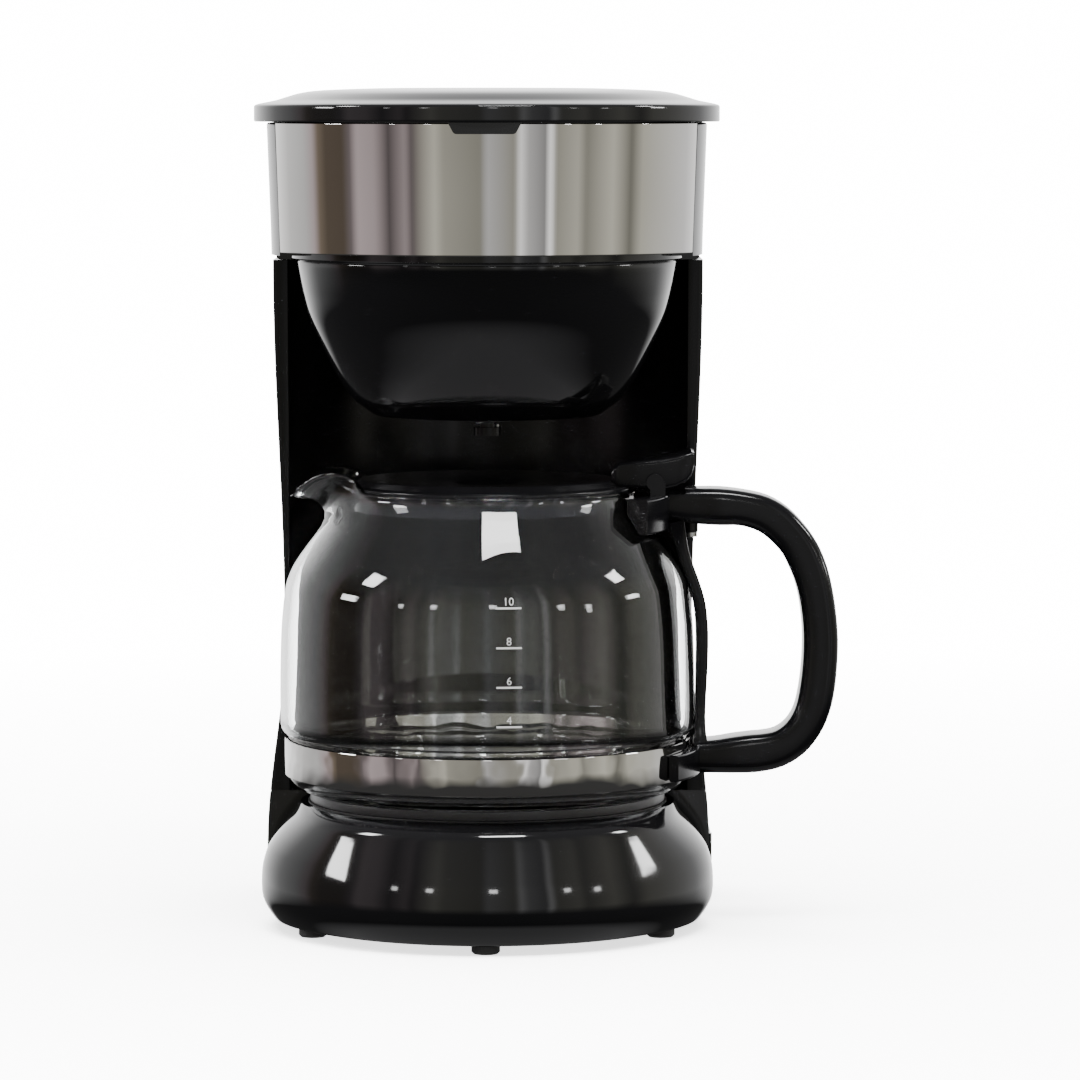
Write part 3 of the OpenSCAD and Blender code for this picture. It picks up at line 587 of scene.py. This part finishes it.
for middle in (-KNUCKLE_X, KNUCKLE_X):
    half = KNUCKLE_HALF + 0.4
    head_cuts.append(knuckle(middle - half, middle + half, HINGE_Y, HINGE_Z, HINGE_R + 0.4))
housing = piece("head_housing", [rear_body], gloss_black, "machine",
                ("upper_housing",), cuts=[front_cut], angle=30)
combine(housing, [core_body], "UNION")
combine(housing, head_cuts)
ear = [(REAR_Y - WALL, 288), (HINGE_Y + HINGE_R, 288)]
ear += [(HINGE_Y + HINGE_R * cos(radians(a)), HINGE_Z + HINGE_R * sin(radians(a)))
        for a in range(0, 181, 15)]
ear += [(REAR_Y - WALL, HINGE_Z)]
ear_parts = []
for middle in (-KNUCKLE_X, KNUCKLE_X):
    for x in (middle - KNUCKLE_HALF - 2.5, middle + KNUCKLE_HALF + 2.5):
        ear_parts.append(loft([[(x + dx, y, z) for y, z in ear] for dx in (-EAR_T / 2, EAR_T / 2)]))
combine(housing, ear_parts, "UNION")
shade(housing.data, 30)

# Radius and height of the funnel's outside
BOWL = [(42.6, 191.4), (46.3, 194), (50.5, 197.7), (55.5, 205.1), (61.1, 216.3), (65.9, 227.4),
        (68.3, 236.6), (70, 246), (70, 247.9)]
bowl_outside = smooth_line(BOWL, 5)
bowl_inside = [(r - 2.5, z + 1) for r, z in reversed(bowl_outside)]
bowl_inside[0] = (66.6, 249.5)
funnel_profile = (
    [(13.1, 190.5), (38, 190.5), (41, 190.75)] + bowl_outside
    + [(70.3, 248.3), (71.6, 248.5), (72.2, 249), (72.2, 251.2), (72, 251.4), (66.6, 251.4)]
    + bowl_inside + [(39, 193.4), (12.6, 193), (12.6, 191)]
)
piece("funnel_bowl", [spin(funnel_profile, 160)], gloss_black, "machine",
      ("brew_funnel",))


# -------------------------------------------------------------------- tower

def ease(a, b, t):
    """Goes from a to b without corners as t goes from 0 to 1."""
    return a + (b - a) * (1 - cos(pi * t)) / 2


def half_at(z):
    """Half width of the tower and of the rear of the base at a height."""
    if z >= WAIST_Z:
        return ease(WAIST_HALF, SHOULDER_HALF, min(1, (z - WAIST_Z) / (HEAD_Z - WAIST_Z)))
    return ease(WAIST_HALF, BASE_HALF, min(1, (WAIST_Z - z) / (WAIST_Z - HIP_Z)))


def tower_ring(z, inset=0.0):
    """The tower's outline at a height: a bay for the carafe between two wings."""
    half = half_at(z) - inset
    bay = BAY_R + inset
    front = WING_Y + inset
    back = REAR_Y - inset
    corner = REAR_CORNER - inset
    a0 = degrees(asin(front / bay))
    meet = (bay * cos(radians(a0)), front)
    edge_r = 0.3 if inset else 1.4
    out = fillet([(meet[0] - 2, meet[1] + 6), meet, (half, front), (half, front + 8)],
                 [0, 0.5, edge_r, 0], 4, closed=False)[1:]
    out += [(half - corner + corner * cos(t), back - corner + corner * sin(t))
            for t in [pi / 2 * i / 10 for i in range(11)]]
    out += [(-x, y) for x, y in reversed(out)]
    arc = [180 - a0 - 2 - (180 - 2 * a0 - 4) * i / 48 for i in range(49)]
    out += [(bay * cos(radians(a)), bay * sin(radians(a))) for a in arc]
    return [(x, y, z) for x, y in out]


def levels(z0, z1, steps):
    """Evenly spaced heights."""
    return [z0 + (z1 - z0) * i / steps for i in range(steps + 1)]


window_slot = fillet([(GAUGE_Y - 5, GAUGE_LOW), (GAUGE_Y + 5, GAUGE_LOW),
                      (GAUGE_Y + 5, GAUGE_HIGH), (GAUGE_Y - 5, GAUGE_HIGH)], 0.4, 2)
slot_cutter = loft([[(x, y, z) for y, z in window_slot] for x in (70, 95)])
inner_tower = loft([tower_ring(z, WALL) for z in levels(DECK_Z - 1, HEAD_Z + 3, 24)])
# The tower wears the darker, less reflective copy of the black plastic: painted shade under the
# funnel's overhang
piece("tower_shell", [loft([tower_ring(z) for z in levels(DECK_Z, REAR_Z - 0.2, 30)])],
      painted_shade_black, "machine", ("tower_housing",),
      cuts=[inner_tower, slot_cutter])


# --------------------------------------------------------------------- base

# Height, half width at the sides and radius at the front of the domed base
DOME = [
    (3.5, 78.2, 75.2), (3.7, 79.2, 76.2), (7, 81.6, 79), (10.2, 83.3, 80.8), (13.6, 84.1, 81.7),
    (18.3, 84.2, 82), (23.6, 83.7, 81.2), (28.8, 82.2, 79.9), (32, 80.5, 79.05),
    (35.5, 78, 78.1), (39.3, 74.8, 77), (42.6, 71.9, 75.8), (44.8, 70.6, 73.8),
    (46, 70, 71.8), (46.8, 69.6, 69.6),
]
dome_outside = smooth_line([(side, z) for z, side, _ in DOME], 4)
dome_front = smooth_line([(front, z) for z, _, front in DOME], 4)


def level_in(line, z):
    """Radius of a line of (radius, height) at a height."""
    for (r0, z0), (r1, z1) in zip(line, line[1:]):
        if z0 <= z <= z1 and z1 > z0:
            return r0 + (r1 - r0) * (z - z0) / (z1 - z0)
    return line[0][0] if z < line[0][1] else line[-1][0]


def steeper_front(p):
    """Moves the dome of revolution onto the front's steeper line, all of it up to
    40 degrees from the front and none of it past 86 degrees."""
    x, y, z = p
    r = sqrt(x * x + y * y)
    if r < 64 or y > 0:
        return p
    off = abs(degrees(atan2(x, -y)))
    t = min(1, max(0, (86 - off) / 46))
    k = 1 + (level_in(dome_front, z) - level_in(dome_outside, z)) * t * t * (3 - 2 * t) / r
    return (x * k, y * k, z)


dome_part = spin([(0, BASE_LOW)] + dome_outside + [(69.2, 47), (0, 47)], 160,
                 deform=steeper_front)
dome_inner = spin([(0, 2)] + [(r - WALL, z) for r, z in dome_outside if z < 44.2]
                  + [(67.4, 44.3), (0, 44.3)], 96, deform=steeper_front)


TUCK_Z = 9


def block_ring(z, inset=0.0):
    """Outline of the block behind the dome. Its lowest part tucks in."""
    tuck = (TUCK_Z - z) ** 2 if z < TUCK_Z and not inset else 0
    half = half_at(z) - inset - tuck * 0.09
    back = REAR_Y - inset - tuck * 0.06
    corner = REAR_CORNER - inset
    plan = [(half, WING_Y + inset)]
    plan += [(half - corner + corner * cos(t), back - corner + corner * sin(t))
             for t in [pi / 2 * i / 10 for i in range(11)]]
    plan += [(-x, y) for x, y in reversed(plan)]
    return [(x, y, z) for x, y in plan]


block_levels = [BASE_LOW, 4.5, 6, 7.5, TUCK_Z] + levels(12, DECK_Z - 0.8, 10)
block_top = [(x * 0.994, y * 0.997 + 0.1, DECK_Z) for x, y, _ in block_ring(DECK_Z)]
block_outer = loft([block_ring(z) for z in block_levels] + [block_top])
block_inner = loft([block_ring(z, WALL) for z in levels(1, DECK_Z - WALL, 10)])
gland_hole = loft([[(GLAND_X + GLAND_R * cos(TAU * i / 32), y,
                     GLAND_Z + GLAND_R * sin(TAU * i / 32)) for i in range(32)]
                   for y in (100, 120)])
plate_hole = spin([(0, 40), (60, 40), (60, 60), (0, 60)], 96)
switch_hole = block(70, 95, SWITCH_Y - 9.9, SWITCH_Y + 9.9, SWITCH_Z - 6.9, SWITCH_Z + 6.9)
hose_holes = [block(s * PIPE_X - 8, s * PIPE_X + 8, 74, 103, DECK_Z - 10, DECK_Z + 10)
              for s in (-1, 1)]
piece("base_shell", [dome_part], gloss_black, "machine",
      ("base_housing", "base_rear"),
      adds=[block_outer], cuts=[dome_inner, block_inner, plate_hole, switch_hole, gland_hole]
      + hose_holes)

plate_profile = fillet([(0, PLATE_Z - 1.2), (PLATE_R - 1.2, PLATE_Z - 1.2),
                        (PLATE_R - 1.2, PLATE_Z - 3.5), (PLATE_R, PLATE_Z - 3.5),
                        (PLATE_R, PLATE_Z), (PLATE_R - 2.2, PLATE_Z), (PLATE_R - 3.2, PLATE_Z - 0.5),
                        (PLATE_R - 6, PLATE_Z - 0.5), (PLATE_R - 7, PLATE_Z), (0, PLATE_Z)],
                       [0, 0, 0.3, 0.3, 0.8, 0.5, 0.5, 0.5, 0.5, 0], 3)
piece("plate_disc", [spin(plate_profile, 128)], plate_coating, "machine",
      ("hot_plate",))


# ------------------------------------------------------------------- carafe

GLASS_SIDE = [(74.2, 58.4), (74.2, 64), (74.2, 70.6), (74.9, 72.4), (76.6, 74.6), (77, 80),
              (77, 95), (76.6, 110), (75.9, 119), (75.2, 124.6), (74.3, 129.2), (72.4, 134),
              (70.2, 138), (67.1, 143), (62.5, 150), (57.9, 157), (55.9, 160.2), (55.5, 162.2)]
GLASS_FOOT = [(0, 51.5), (40, 51.5), (62, 51.4), (66, 51.35), (69.6, 52), (72, 53.6), (73.6, 55.8)]


def bell(t):
    """1 at 0, falling smoothly to 0 at 1."""
    t = min(1, abs(t))
    return (1 - t * t) ** 2


SPOUT_Z, SPOUT_OUT, LIP_LIFT, TIP_DROP = 148, 17.0, 7.0, 2.2


def spout(p):
    """Draws the neck out to the left into a pouring beak with raised lips beside
    its lower tip. Spreads are in degrees round the rim."""
    x, y, z = p
    r = sqrt(x * x + y * y)
    if r < 30 or z < SPOUT_Z:
        return p
    off = abs(degrees(atan2(y, -x)))
    up = min(1, (z - SPOUT_Z) / (RIM_Z - SPOUT_Z))
    out = SPOUT_OUT * bell(off / 30) * up ** 3.2
    lift = LIP_LIFT * bell((off - 21) / 18) * up ** 2
    lift -= TIP_DROP * bell(off / 15) * up ** 3
    k = (r + out) / r
    return (x * k, y * k, z + lift)


glass_out = smooth_line(GLASS_FOOT + GLASS_SIDE, 3)
glass_rim = [(55.9, 162.2), (56.1, 162.8), (55.7, 163.3), (54.8, 163.4), (54, 163),
             (53.8, 162.3)]
inner_line = smooth_line(
    [(0, 54.2), (40, 54.2), (60, 54.2), (66.5, 54.8), (70, 56.8), (71.7, 60), (71.8, 64),
     (71.8, 70.8), (72.6, 73), (74.2, 75.4), (74.6, 80), (74.6, 95), (74.2, 110),
     (73.5, 118.6), (72.9, 124), (72.1, 128.3), (70.4, 132.9), (68.3, 136.8), (65.2, 141.8),
     (60.7, 148.8), (56.2, 155.5), (54.2, 159), (53.5, 161)], 3)
glass_profile = glass_out + glass_rim + list(reversed(inner_line))
piece("glass_jug", [spin(glass_profile, 192, deform=spout)], clear_glass, "carafe",
      ("carafe_glass",), angle=60)

band_section = fillet([(74.5, 57.4), (75.4, 57.4), (75.4, 70.8), (74.5, 70.8)], 0.25, 2)
piece("jug_band", [spin(band_section, 160)], carafe_steel, "carafe",
      ("carafe_band",))

# Handle: a rounded bar between two rails, the outside and the inside of the loop
GRIP = [
    # outer point, inner point, half depth
    ((66, 163.5), (66, 152.0), 9.4), ((76, 163.7), (76, 150.6), 10.4),
    ((86, 163.7), (86, 150.0), 11.0), ((95.5, 162.6), (93.5, 149.9), 11.0),
    ((104.2, 160.5), (100.4, 147.8), 11.0), ((111.6, 156.2), (105.2, 144.2), 11.0),
    ((118, 149.6), (109.2, 139.7), 11.0), ((122.3, 143.5), (112.0, 134.4), 11.0),
    ((125.3, 136.8), (114.2, 129), 11.0), ((127.4, 129.6), (115.8, 122.7), 11.0),
    ((129.2, 119.5), (116.9, 115), 11.0), ((130.2, 108), (117.3, 107), 11.0),
    ((129.9, 97.5), (116.9, 97), 11.0), ((128.9, 88), (115.7, 87.6), 11.0),
    ((127, 79.8), (114.1, 81.4), 11.0), ((123.4, 72), (111.2, 76.6), 11.0),
    ((117.8, 65.1), (107.2, 73.6), 11.0), ((110.2, 60.3), (102.4, 72.5), 11.0),
    ((101.5, 58.1), (97, 72.0), 11.0), ((93, 57.7), (91, 71.2), 11.0),
    ((85, 57.75), (85, 70.2), 10.8), ((78, 57.8), (78, 69.6), 10.4),
]


def rounded_section(outer, inner, half, corner=4.2, steps=5):
    """Ring across the bar: a rounded rectangle from the outer to the inner rail."""
    o, i = Vector(outer), Vector(inner)
    thick = (o - i).length
    plan = fillet([(0, -half), (thick, -half), (thick, half), (0, half)],
                  min(corner, thick / 2 - 0.3), steps)
    along = (o - i) / thick
    return [((i + along * a).x, b, (i + along * a).y) for a, b in plan]


def rails(stations, steps):
    """Smooths the stations of a bar along its length."""
    flat = [(o[0], o[1], i[0], i[1], h) for o, i, h in stations]
    out = []
    n = len(flat)
    for k in range(n - 1):
        p = [flat[min(max(k + j, 0), n - 1)] for j in (-1, 0, 1, 2)]
        for s in range(steps):
            t = s / steps
            out.append([0.5 * (2 * b + (c - a) * t + (2 * a - 5 * b + 4 * c - d) * t * t
                               + (3 * b - a - 3 * c + d) * t ** 3)
                        for a, b, c, d in zip(*p)])
    out.append(list(flat[-1]))
    return [((a, b), (c, d), h) for a, b, c, d, h in out]


grip_part = loft([rounded_section(o, i, h) for o, i, h in rails(GRIP, 3)])
# The strap runs from the collar at the neck down the glass to the lower clasp
STRAP = [
    ((73.0, 152.0), (66.6, 150.6), 8.5), ((73.6, 147.5), (68.2, 145.6), 7.6),
    ((74.8, 140.2), (70.6, 138.6), 7), ((77.0, 133.6), (72.6, 132.4), 7),
    ((79.2, 127.6), (74.9, 126.8), 7), ((81.2, 120), (76.8, 119.4), 7),
    ((82.1, 109), (77.6, 109), 7), ((81.8, 96), (77.5, 96), 7), ((81.1, 82), (77.3, 82), 7),
    ((81.2, 74), (76.9, 74), 7.6), ((82, 68), (76.5, 68), 9),
]
strap_part = loft([rounded_section(o, i, h, 1.3, 3) for o, i, h in rails(STRAP, 3)])
lower_clasp = spin(fillet([(75.75, 57.9), (79.6, 57.9), (79.6, 67.8), (75.75, 67.8)], 1.1, 3),
                   28, -28, 56)
neck_clasp = spin(fillet([(59.4, 155.8), (64.4, 148.4), (68, 148.4), (68, 161.4), (59.4, 161.4)],
                         [0.3, 0.8, 1, 1, 0.4], 3), 28, -30, 60)
BOSS_X = 75.8
boss_points, boss_faces = spin([(0, 147), (2.2, 147), (2.5, 147.3), (2.5, 152), (0, 152)], 24)
screw_boss = ([(x + BOSS_X, y, z) for x, y, z in boss_points], boss_faces)
PIN_X, PIN_Z, EAR_R = 62.0, 166.5, 3.2
ears = []
for y0, y1 in ((-17.0, -13.4), (13.4, 17.0)):
    ear = [(PIN_X + EAR_R * cos(TAU * i / 20), PIN_Z + EAR_R * sin(TAU * i / 20))
           for i in range(20)]
    ears.append(loft([[(x, y, z) for x, z in ear] for y in (y0, y1)]))
    ears.append(block(60.2, 65.8, y0, y1, 158, PIN_Z))
piece("jug_handle", [grip_part], handle_black, "carafe",
      ("carafe_handle",), cuts=[block(50, 73.4, -13.1, 13.1, 161.6, 172)],
      adds=[strap_part, lower_clasp, neck_clasp, screw_boss] + ears, angle=38)

# Carafe lid: dished disc with a raised rim, a skirt and a thumb lever
lid_disc = fillet([(49.2, 155), (50.8, 155), (50.8, 162.9), (53.6, 162.9), (53.6, 164.6),
                   (49.6, 164.9), (47.2, 167), (12, 165.4), (6, 163), (6, 158.6), (8, 158.6),
                   (8, 161.6), (12, 163.4), (46, 164.8), (49.2, 162.8)],
                  [0.3, 0.3, 0.3, 0.4, 0.6, 0.8, 1.2, 2, 0.8, 0.4, 0.4, 0.8, 0.8, 0.6, 0.4], 3)
LEVER = [
    # x, underside, top, half width
    (46, 164.2, 170.4, 11.4), (47, 164.2, 172.2, 12.1), (49, 164.1, 173.5, 12.5),
    (56, 163.6, 174.1, 12.6), (64, 163.3, 174.8, 12.6), (70, 164.6, 175.9, 12.6),
    (73.6, 166.6, 177.0, 12.4), (75.6, 169.2, 177.6, 12.1), (76.5, 172, 177.2, 11.6),
]


def lever_ring(x, low, high, half):
    """The thumb lever's rounded section at one x."""
    plan = fillet([(-half, low), (half, low), (half, high), (-half, high)], 1.7, 4)
    return [(x, y, z) for y, z in plan]


lever_part = loft([lever_ring(*s) for s in LEVER])
piece("jug_lid", [spin(lid_disc, 128), lever_part], satin_black, "carafe_lid",
      ("carafe_lid",))


# Marks printed on the glass: lines with the number of cups
MARK_TURN = radians(6.4)
INK_LOW, INK_HIGH = 0.02, 0.07


def on_glass(u, z, lift):
    """A point u millimetres round from the middle of the marks at height z."""
    r = level_in(glass_out, z) + lift
    a = -pi / 2 + MARK_TURN + u / r
    return (r * cos(a), r * sin(a), z)


def printed_line(u0, u1, z0, z1, steps=8):
    """A thin line of ink that follows the glass."""
    rows = []
    for i in range(steps + 1):
        u = u0 + (u1 - u0) * i / steps
        rows.append([on_glass(u, z0, INK_LOW), on_glass(u, z1, INK_LOW),
                     on_glass(u, z1, INK_HIGH), on_glass(u, z0, INK_HIGH)])
    return loft(rows)


def digits(text, u_mid, z_low, height):
    """The digits of a number as flat shapes, from the built-in face, bent to the glass."""
    curve = bpy.data.curves.new("digits", "FONT")
    curve.body = text
    curve.size = height * 1.38
    curve.align_x = "CENTER"
    curve.resolution_u = 3
    obj = add_object("digits", curve)
    bpy.context.view_layer.update()
    mesh = bpy.data.meshes.new_from_object(obj.evaluated_get(
        bpy.context.evaluated_depsgraph_get()))
    low, high = [], []
    for v in mesh.vertices:
        u, z = u_mid + v.co.x, z_low + v.co.y
        low.append(on_glass(u, z, INK_LOW))
        high.append(on_glass(u, z, INK_HIGH))
    count = len(low)
    faces = [tuple(p.vertices) for p in mesh.polygons]
    edges = {}
    for f in faces:
        for a, b in zip(f, f[1:] + f[:1]):
            edges[(a, b)] = edges.get((a, b), 0) + 1
    rim = [(a, b) for a, b in edges if (b, a) not in edges]
    solid = [tuple(i + count for i in f) for f in faces] + [tuple(reversed(f)) for f in faces]
    solid += [(a, b, b + count, a + count) for a, b in rim]
    bpy.data.objects.remove(obj)
    bpy.data.meshes.remove(mesh)
    bpy.data.curves.remove(curve)
    return low + high, solid


mark_parts = []
for cups, z in (("10", 125.5), ("8", 111.3), ("6", 97.1), ("4", 82.9)):
    mark_parts.append(printed_line(-4.6, 4.6, z - 0.35, z + 0.35))
    mark_parts.append(digits(cups, 0, z + 1.0, 2.9))
piece("cup_marks", mark_parts, white_print, "carafe")


def coil(r, wire, z0, z1, turns, steps=24, around=8):
    """A wire wound about the axis."""
    rings = []
    for i in range(int(turns * steps) + 1):
        t = i / (turns * steps)
        a = TAU * turns * t
        z = z0 + (z1 - z0) * t
        radial = Vector((cos(a), sin(a), 0))
        rings.append([tuple(radial * (r + wire * cos(TAU * k / around))
                            + Vector((0, 0, z + wire * sin(TAU * k / around))))
                      for k in range(around)])
    return loft(rings)


# Coil spring of the drip stop: its top stays under the basket as the stem rises
SPRING_LOW, SPRING_TOP, WIRE_R = 186.15, 199.85, 0.45
spring_coil = coil(4.0, WIRE_R, SPRING_LOW + WIRE_R, SPRING_TOP - WIRE_R, 6)
spring = piece("stop_spring", [spring_coil], zinc, "drip_stop",
               ("drip_stop_spring",))
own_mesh(spring)


# -------------------------------------------------------- stage and lights

WHITE = 16.0
FLOOR_LIGHT = 24.0
FLOOR_GLOW = 2.0
FLOOR_R = 1.2


def floor_disc(steps=96):
    mesh = bpy.data.meshes.new("studio_floor")
    mesh.from_pydata([(FLOOR_R * cos(TAU * i / steps), FLOOR_R * sin(TAU * i / steps), 0.0)
                      for i in range(steps)], [], [tuple(range(steps))])
    return add_object("studio_floor", mesh)


def floor_material():
    """Pale floor that glows a little and fades into the background away from the machine."""
    mat, tree, shader, coord = node_tree("floor_white")
    slow = noise(tree, coord, 3, 2.0)
    tree.links.new(tinted(tree, slow, (0.85, 0.85, 0.85), (0.87, 0.87, 0.87)),
                   shader.inputs["Base Color"])
    shader.inputs["Roughness"].default_value = 0.9
    shader.inputs["Specular IOR Level"].default_value = 0.1
    shader.inputs["Emission Color"].default_value = (1, 1, 1, 1)
    shader.inputs["Emission Strength"].default_value = FLOOR_GLOW
    length = tree.nodes.new("ShaderNodeVectorMath")
    length.operation = "LENGTH"
    tree.links.new(coord.outputs["Object"], length.inputs[0])
    fade = ranged(tree, length.outputs["Value"], 1, 0, 0.3, 1.0)
    tree.links.new(fade, shader.inputs["Alpha"])
    return mat


floor = floor_disc()
floor.data.materials.append(floor_material())
floor.visible_glossy = False
floor.visible_diffuse = False
floor.visible_transmission = False


def around(azimuth, elevation, distance, height=0.1):
    """A point in a direction from the machine. Azimuth 0 is the front, 90 the right side."""
    a, e = radians(azimuth), radians(elevation)
    return (distance * sin(a) * cos(e), -distance * cos(a) * cos(e),
            height + distance * sin(e))


PANEL_DISTANCE = 2.4


def soft_panel(name, azimuth, elevation, wide, tall, radiance):
    """A soft lamp or window. wide and tall are the angles that it fills, in degrees."""
    light = bpy.data.lights.new(name, "AREA")
    light.shape = "RECTANGLE"
    light.size = 2 * PANEL_DISTANCE * tan(radians(wide / 2))
    light.size_y = 2 * PANEL_DISTANCE * tan(radians(tall / 2))
    light.energy = radiance * pi * light.size * light.size_y
    obj = bpy.data.objects.new(name, light)
    bpy.context.scene.collection.objects.link(obj)
    obj.location = around(azimuth, elevation, PANEL_DISTANCE)
    obj.rotation_mode = "QUATERNION"
    obj.rotation_quaternion = (Vector((0, 0, 0.1)) - obj.location).to_track_quat("-Z", "Y")
    obj.visible_camera = False
    return obj


# Name, azimuth, elevation, width and height in degrees, radiance
PANELS = [
    ("key", 13, 64, 18, 8, 60), ("window_left", -78, 35, 9, 11, 50),
    ("window_right", 91, 34, 8, 8, 46), ("pane_left", -85, 13, 11, 6, 38),
    ("pane_right", 92, 13, 9, 5, 34), ("lamp_1", -49, 12, 3, 2.6, 16),
    ("lamp_2", -30, 13, 3.5, 2.6, 18), ("lamp_3", 3, 14, 4, 2.8, 18),
    ("lamp_4", 42, 12, 3.5, 2.6, 18), ("lamp_5", 59, 10, 3.5, 2.6, 18),
]
for panel in PANELS:
    soft_panel(*panel)

# A broad lamp overhead that lights only the floor, for the soft shadow
overhead = soft_panel("floor_lamp", 0, 88, 60, 60, FLOOR_LIGHT * 1.35)
overhead.visible_glossy = False
overhead.visible_transmission = False
only_floor = bpy.data.collections.new("only_floor")
only_floor.objects.link(floor)
overhead.light_linking.receiver_collection = only_floor

# Room: white for the eye, soft for matt surfaces, and in gloss a dim studio
# whose walls are upright bands
world = bpy.data.worlds.new("studio")
bpy.context.scene.world = world
world.use_nodes = True
wt = world.node_tree
wt.nodes.clear()


def world_node(kind, operation=None, **values):
    """A node of the world's tree. i0, i1 and so on set or link its inputs."""
    node = wt.nodes.new(kind)
    if operation:
        node.operation = operation
    for socket, value in values.items():
        source = node.inputs[int(socket[1:])]
        if isinstance(value, bpy.types.NodeSocket):
            wt.links.new(value, source)
        else:
            source.default_value = value
    return node


path = wt.nodes.new("ShaderNodeLightPath")
mirrored = world_node("ShaderNodeMath", "GREATER_THAN", i0=path.outputs["Glossy Depth"], i1=0.5)
straight = world_node("ShaderNodeMath", "GREATER_THAN",
                      i0=path.outputs["Is Transmission Ray"], i1=mirrored.outputs[0])
seen = world_node("ShaderNodeMath", "MAXIMUM", i0=path.outputs["Is Camera Ray"],
                  i1=straight.outputs[0])
white = world_node("ShaderNodeBackground", i0=(1, 1, 1, 1), i1=WHITE)
soft = world_node("ShaderNodeBackground", i0=(1, 1, 1, 1), i1=0.7)
direction = wt.nodes.new("ShaderNodeTexCoord")
parts = world_node("ShaderNodeSeparateXYZ", i0=direction.outputs["Generated"])
front = world_node("ShaderNodeMath", "MULTIPLY", i0=parts.outputs["Y"], i1=-1.0)
azimuth = world_node("ShaderNodeMath", "ARCTAN2", i0=parts.outputs["X"], i1=front.outputs[0])
turned = world_node("ShaderNodeMapRange", i0=azimuth.outputs[0], i1=-pi, i2=pi)
bands = world_node("ShaderNodeValToRGB", i0=turned.outputs[0])
# The studio's walls as upright bands: azimuth in degrees, brightness and hue
PLAIN, PINK, BROWN, OLIVE = (1, 1, 1), (1.08, 0.92, 0.94), (1.15, 0.93, 0.72), (1.02, 1.0, 0.86)
WALLS = [
    (-180, 3.0, PLAIN), (-150, 2.0, PLAIN), (-128, 1.0, PLAIN), (-112, 0.8, PLAIN),
    (-104, 0.6, PINK), (-99, 0.22, BROWN), (-93, 0.12, BROWN), (-81, 0.11, BROWN),
    (-76, 0.2, PINK), (-71, 0.6, PINK), (-61, 0.52, PINK), (-52, 0.13, PINK),
    (-43, 0.42, PINK), (-39, 0.16, PINK), (-27, 0.75, OLIVE), (-22, 0.5, OLIVE),
    (-3, 0.36, OLIVE), (1, 0.7, PLAIN), (15, 0.42, OLIVE), (18, 1.4, PLAIN), (22, 0.7, PLAIN),
    (31, 0.4, PLAIN), (34, 1.7, PLAIN), (37, 0.46, OLIVE), (49, 0.68, OLIVE), (54, 0.36, OLIVE),
    (70, 0.78, OLIVE), (82, 0.25, OLIVE), (90, 0.68, OLIVE), (130, 1.05, PLAIN),
    (180, 3.0, PLAIN),
]
ramp = bands.color_ramp
while len(ramp.elements) > 1:
    ramp.elements.remove(ramp.elements[0])
for i, (angle, grey, hue) in enumerate(WALLS):
    at = (angle + 180) / 360
    stop = ramp.elements[0] if i == 0 else ramp.elements.new(at)
    stop.position = at
    stop.color = (grey * hue[0], grey * hue[1], grey * hue[2], 1)
room = world_node("ShaderNodeBackground", i0=bands.outputs[0], i1=1.0)
ceiling = world_node("ShaderNodeBackground", i0=(0.3, 0.3, 0.31, 1), i1=1.0)
skirting = world_node("ShaderNodeBackground", i0=(0.06, 0.06, 0.06, 1), i1=1.0)
ground = world_node("ShaderNodeBackground", i0=(0.55, 0.55, 0.56, 1), i1=1.0)
up = world_node("ShaderNodeMapRange", i0=parts.outputs["Z"], i1=0.3, i2=0.7)
down = world_node("ShaderNodeMapRange", i0=parts.outputs["Z"], i1=-0.12, i2=-0.3)
below = world_node("ShaderNodeMapRange", i0=parts.outputs["Z"], i1=-0.62, i2=-0.78)
with_ceiling = world_node("ShaderNodeMixShader", i0=up.outputs[0], i1=room.outputs[0],
                          i2=ceiling.outputs[0])
with_skirting = world_node("ShaderNodeMixShader", i0=down.outputs[0],
                           i1=with_ceiling.outputs[0], i2=skirting.outputs[0])
with_ground = world_node("ShaderNodeMixShader", i0=below.outputs[0],
                         i1=with_skirting.outputs[0], i2=ground.outputs[0])
glossy = world_node("ShaderNodeMixShader", i0=mirrored.outputs[0],
                    i1=soft.outputs[0], i2=with_ground.outputs[0])
shown = world_node("ShaderNodeMixShader", i0=seen.outputs[0], i1=glossy.outputs[0],
                   i2=white.outputs[0])
world_out = wt.nodes.new("ShaderNodeOutputWorld")
wt.links.new(shown.outputs[0], world_out.inputs[0])

# ------------------------------------------------------------------- camera

camera_data = bpy.data.cameras.new("camera")
camera_data.lens = 180
camera_data.sensor_width = 36
camera = bpy.data.objects.new("camera", camera_data)
bpy.context.scene.collection.objects.link(camera)
camera.location = (-0.00255, -2.0154, 0.307)
camera.rotation_euler = (radians(85.34), 0, 0)
bpy.context.scene.camera = camera
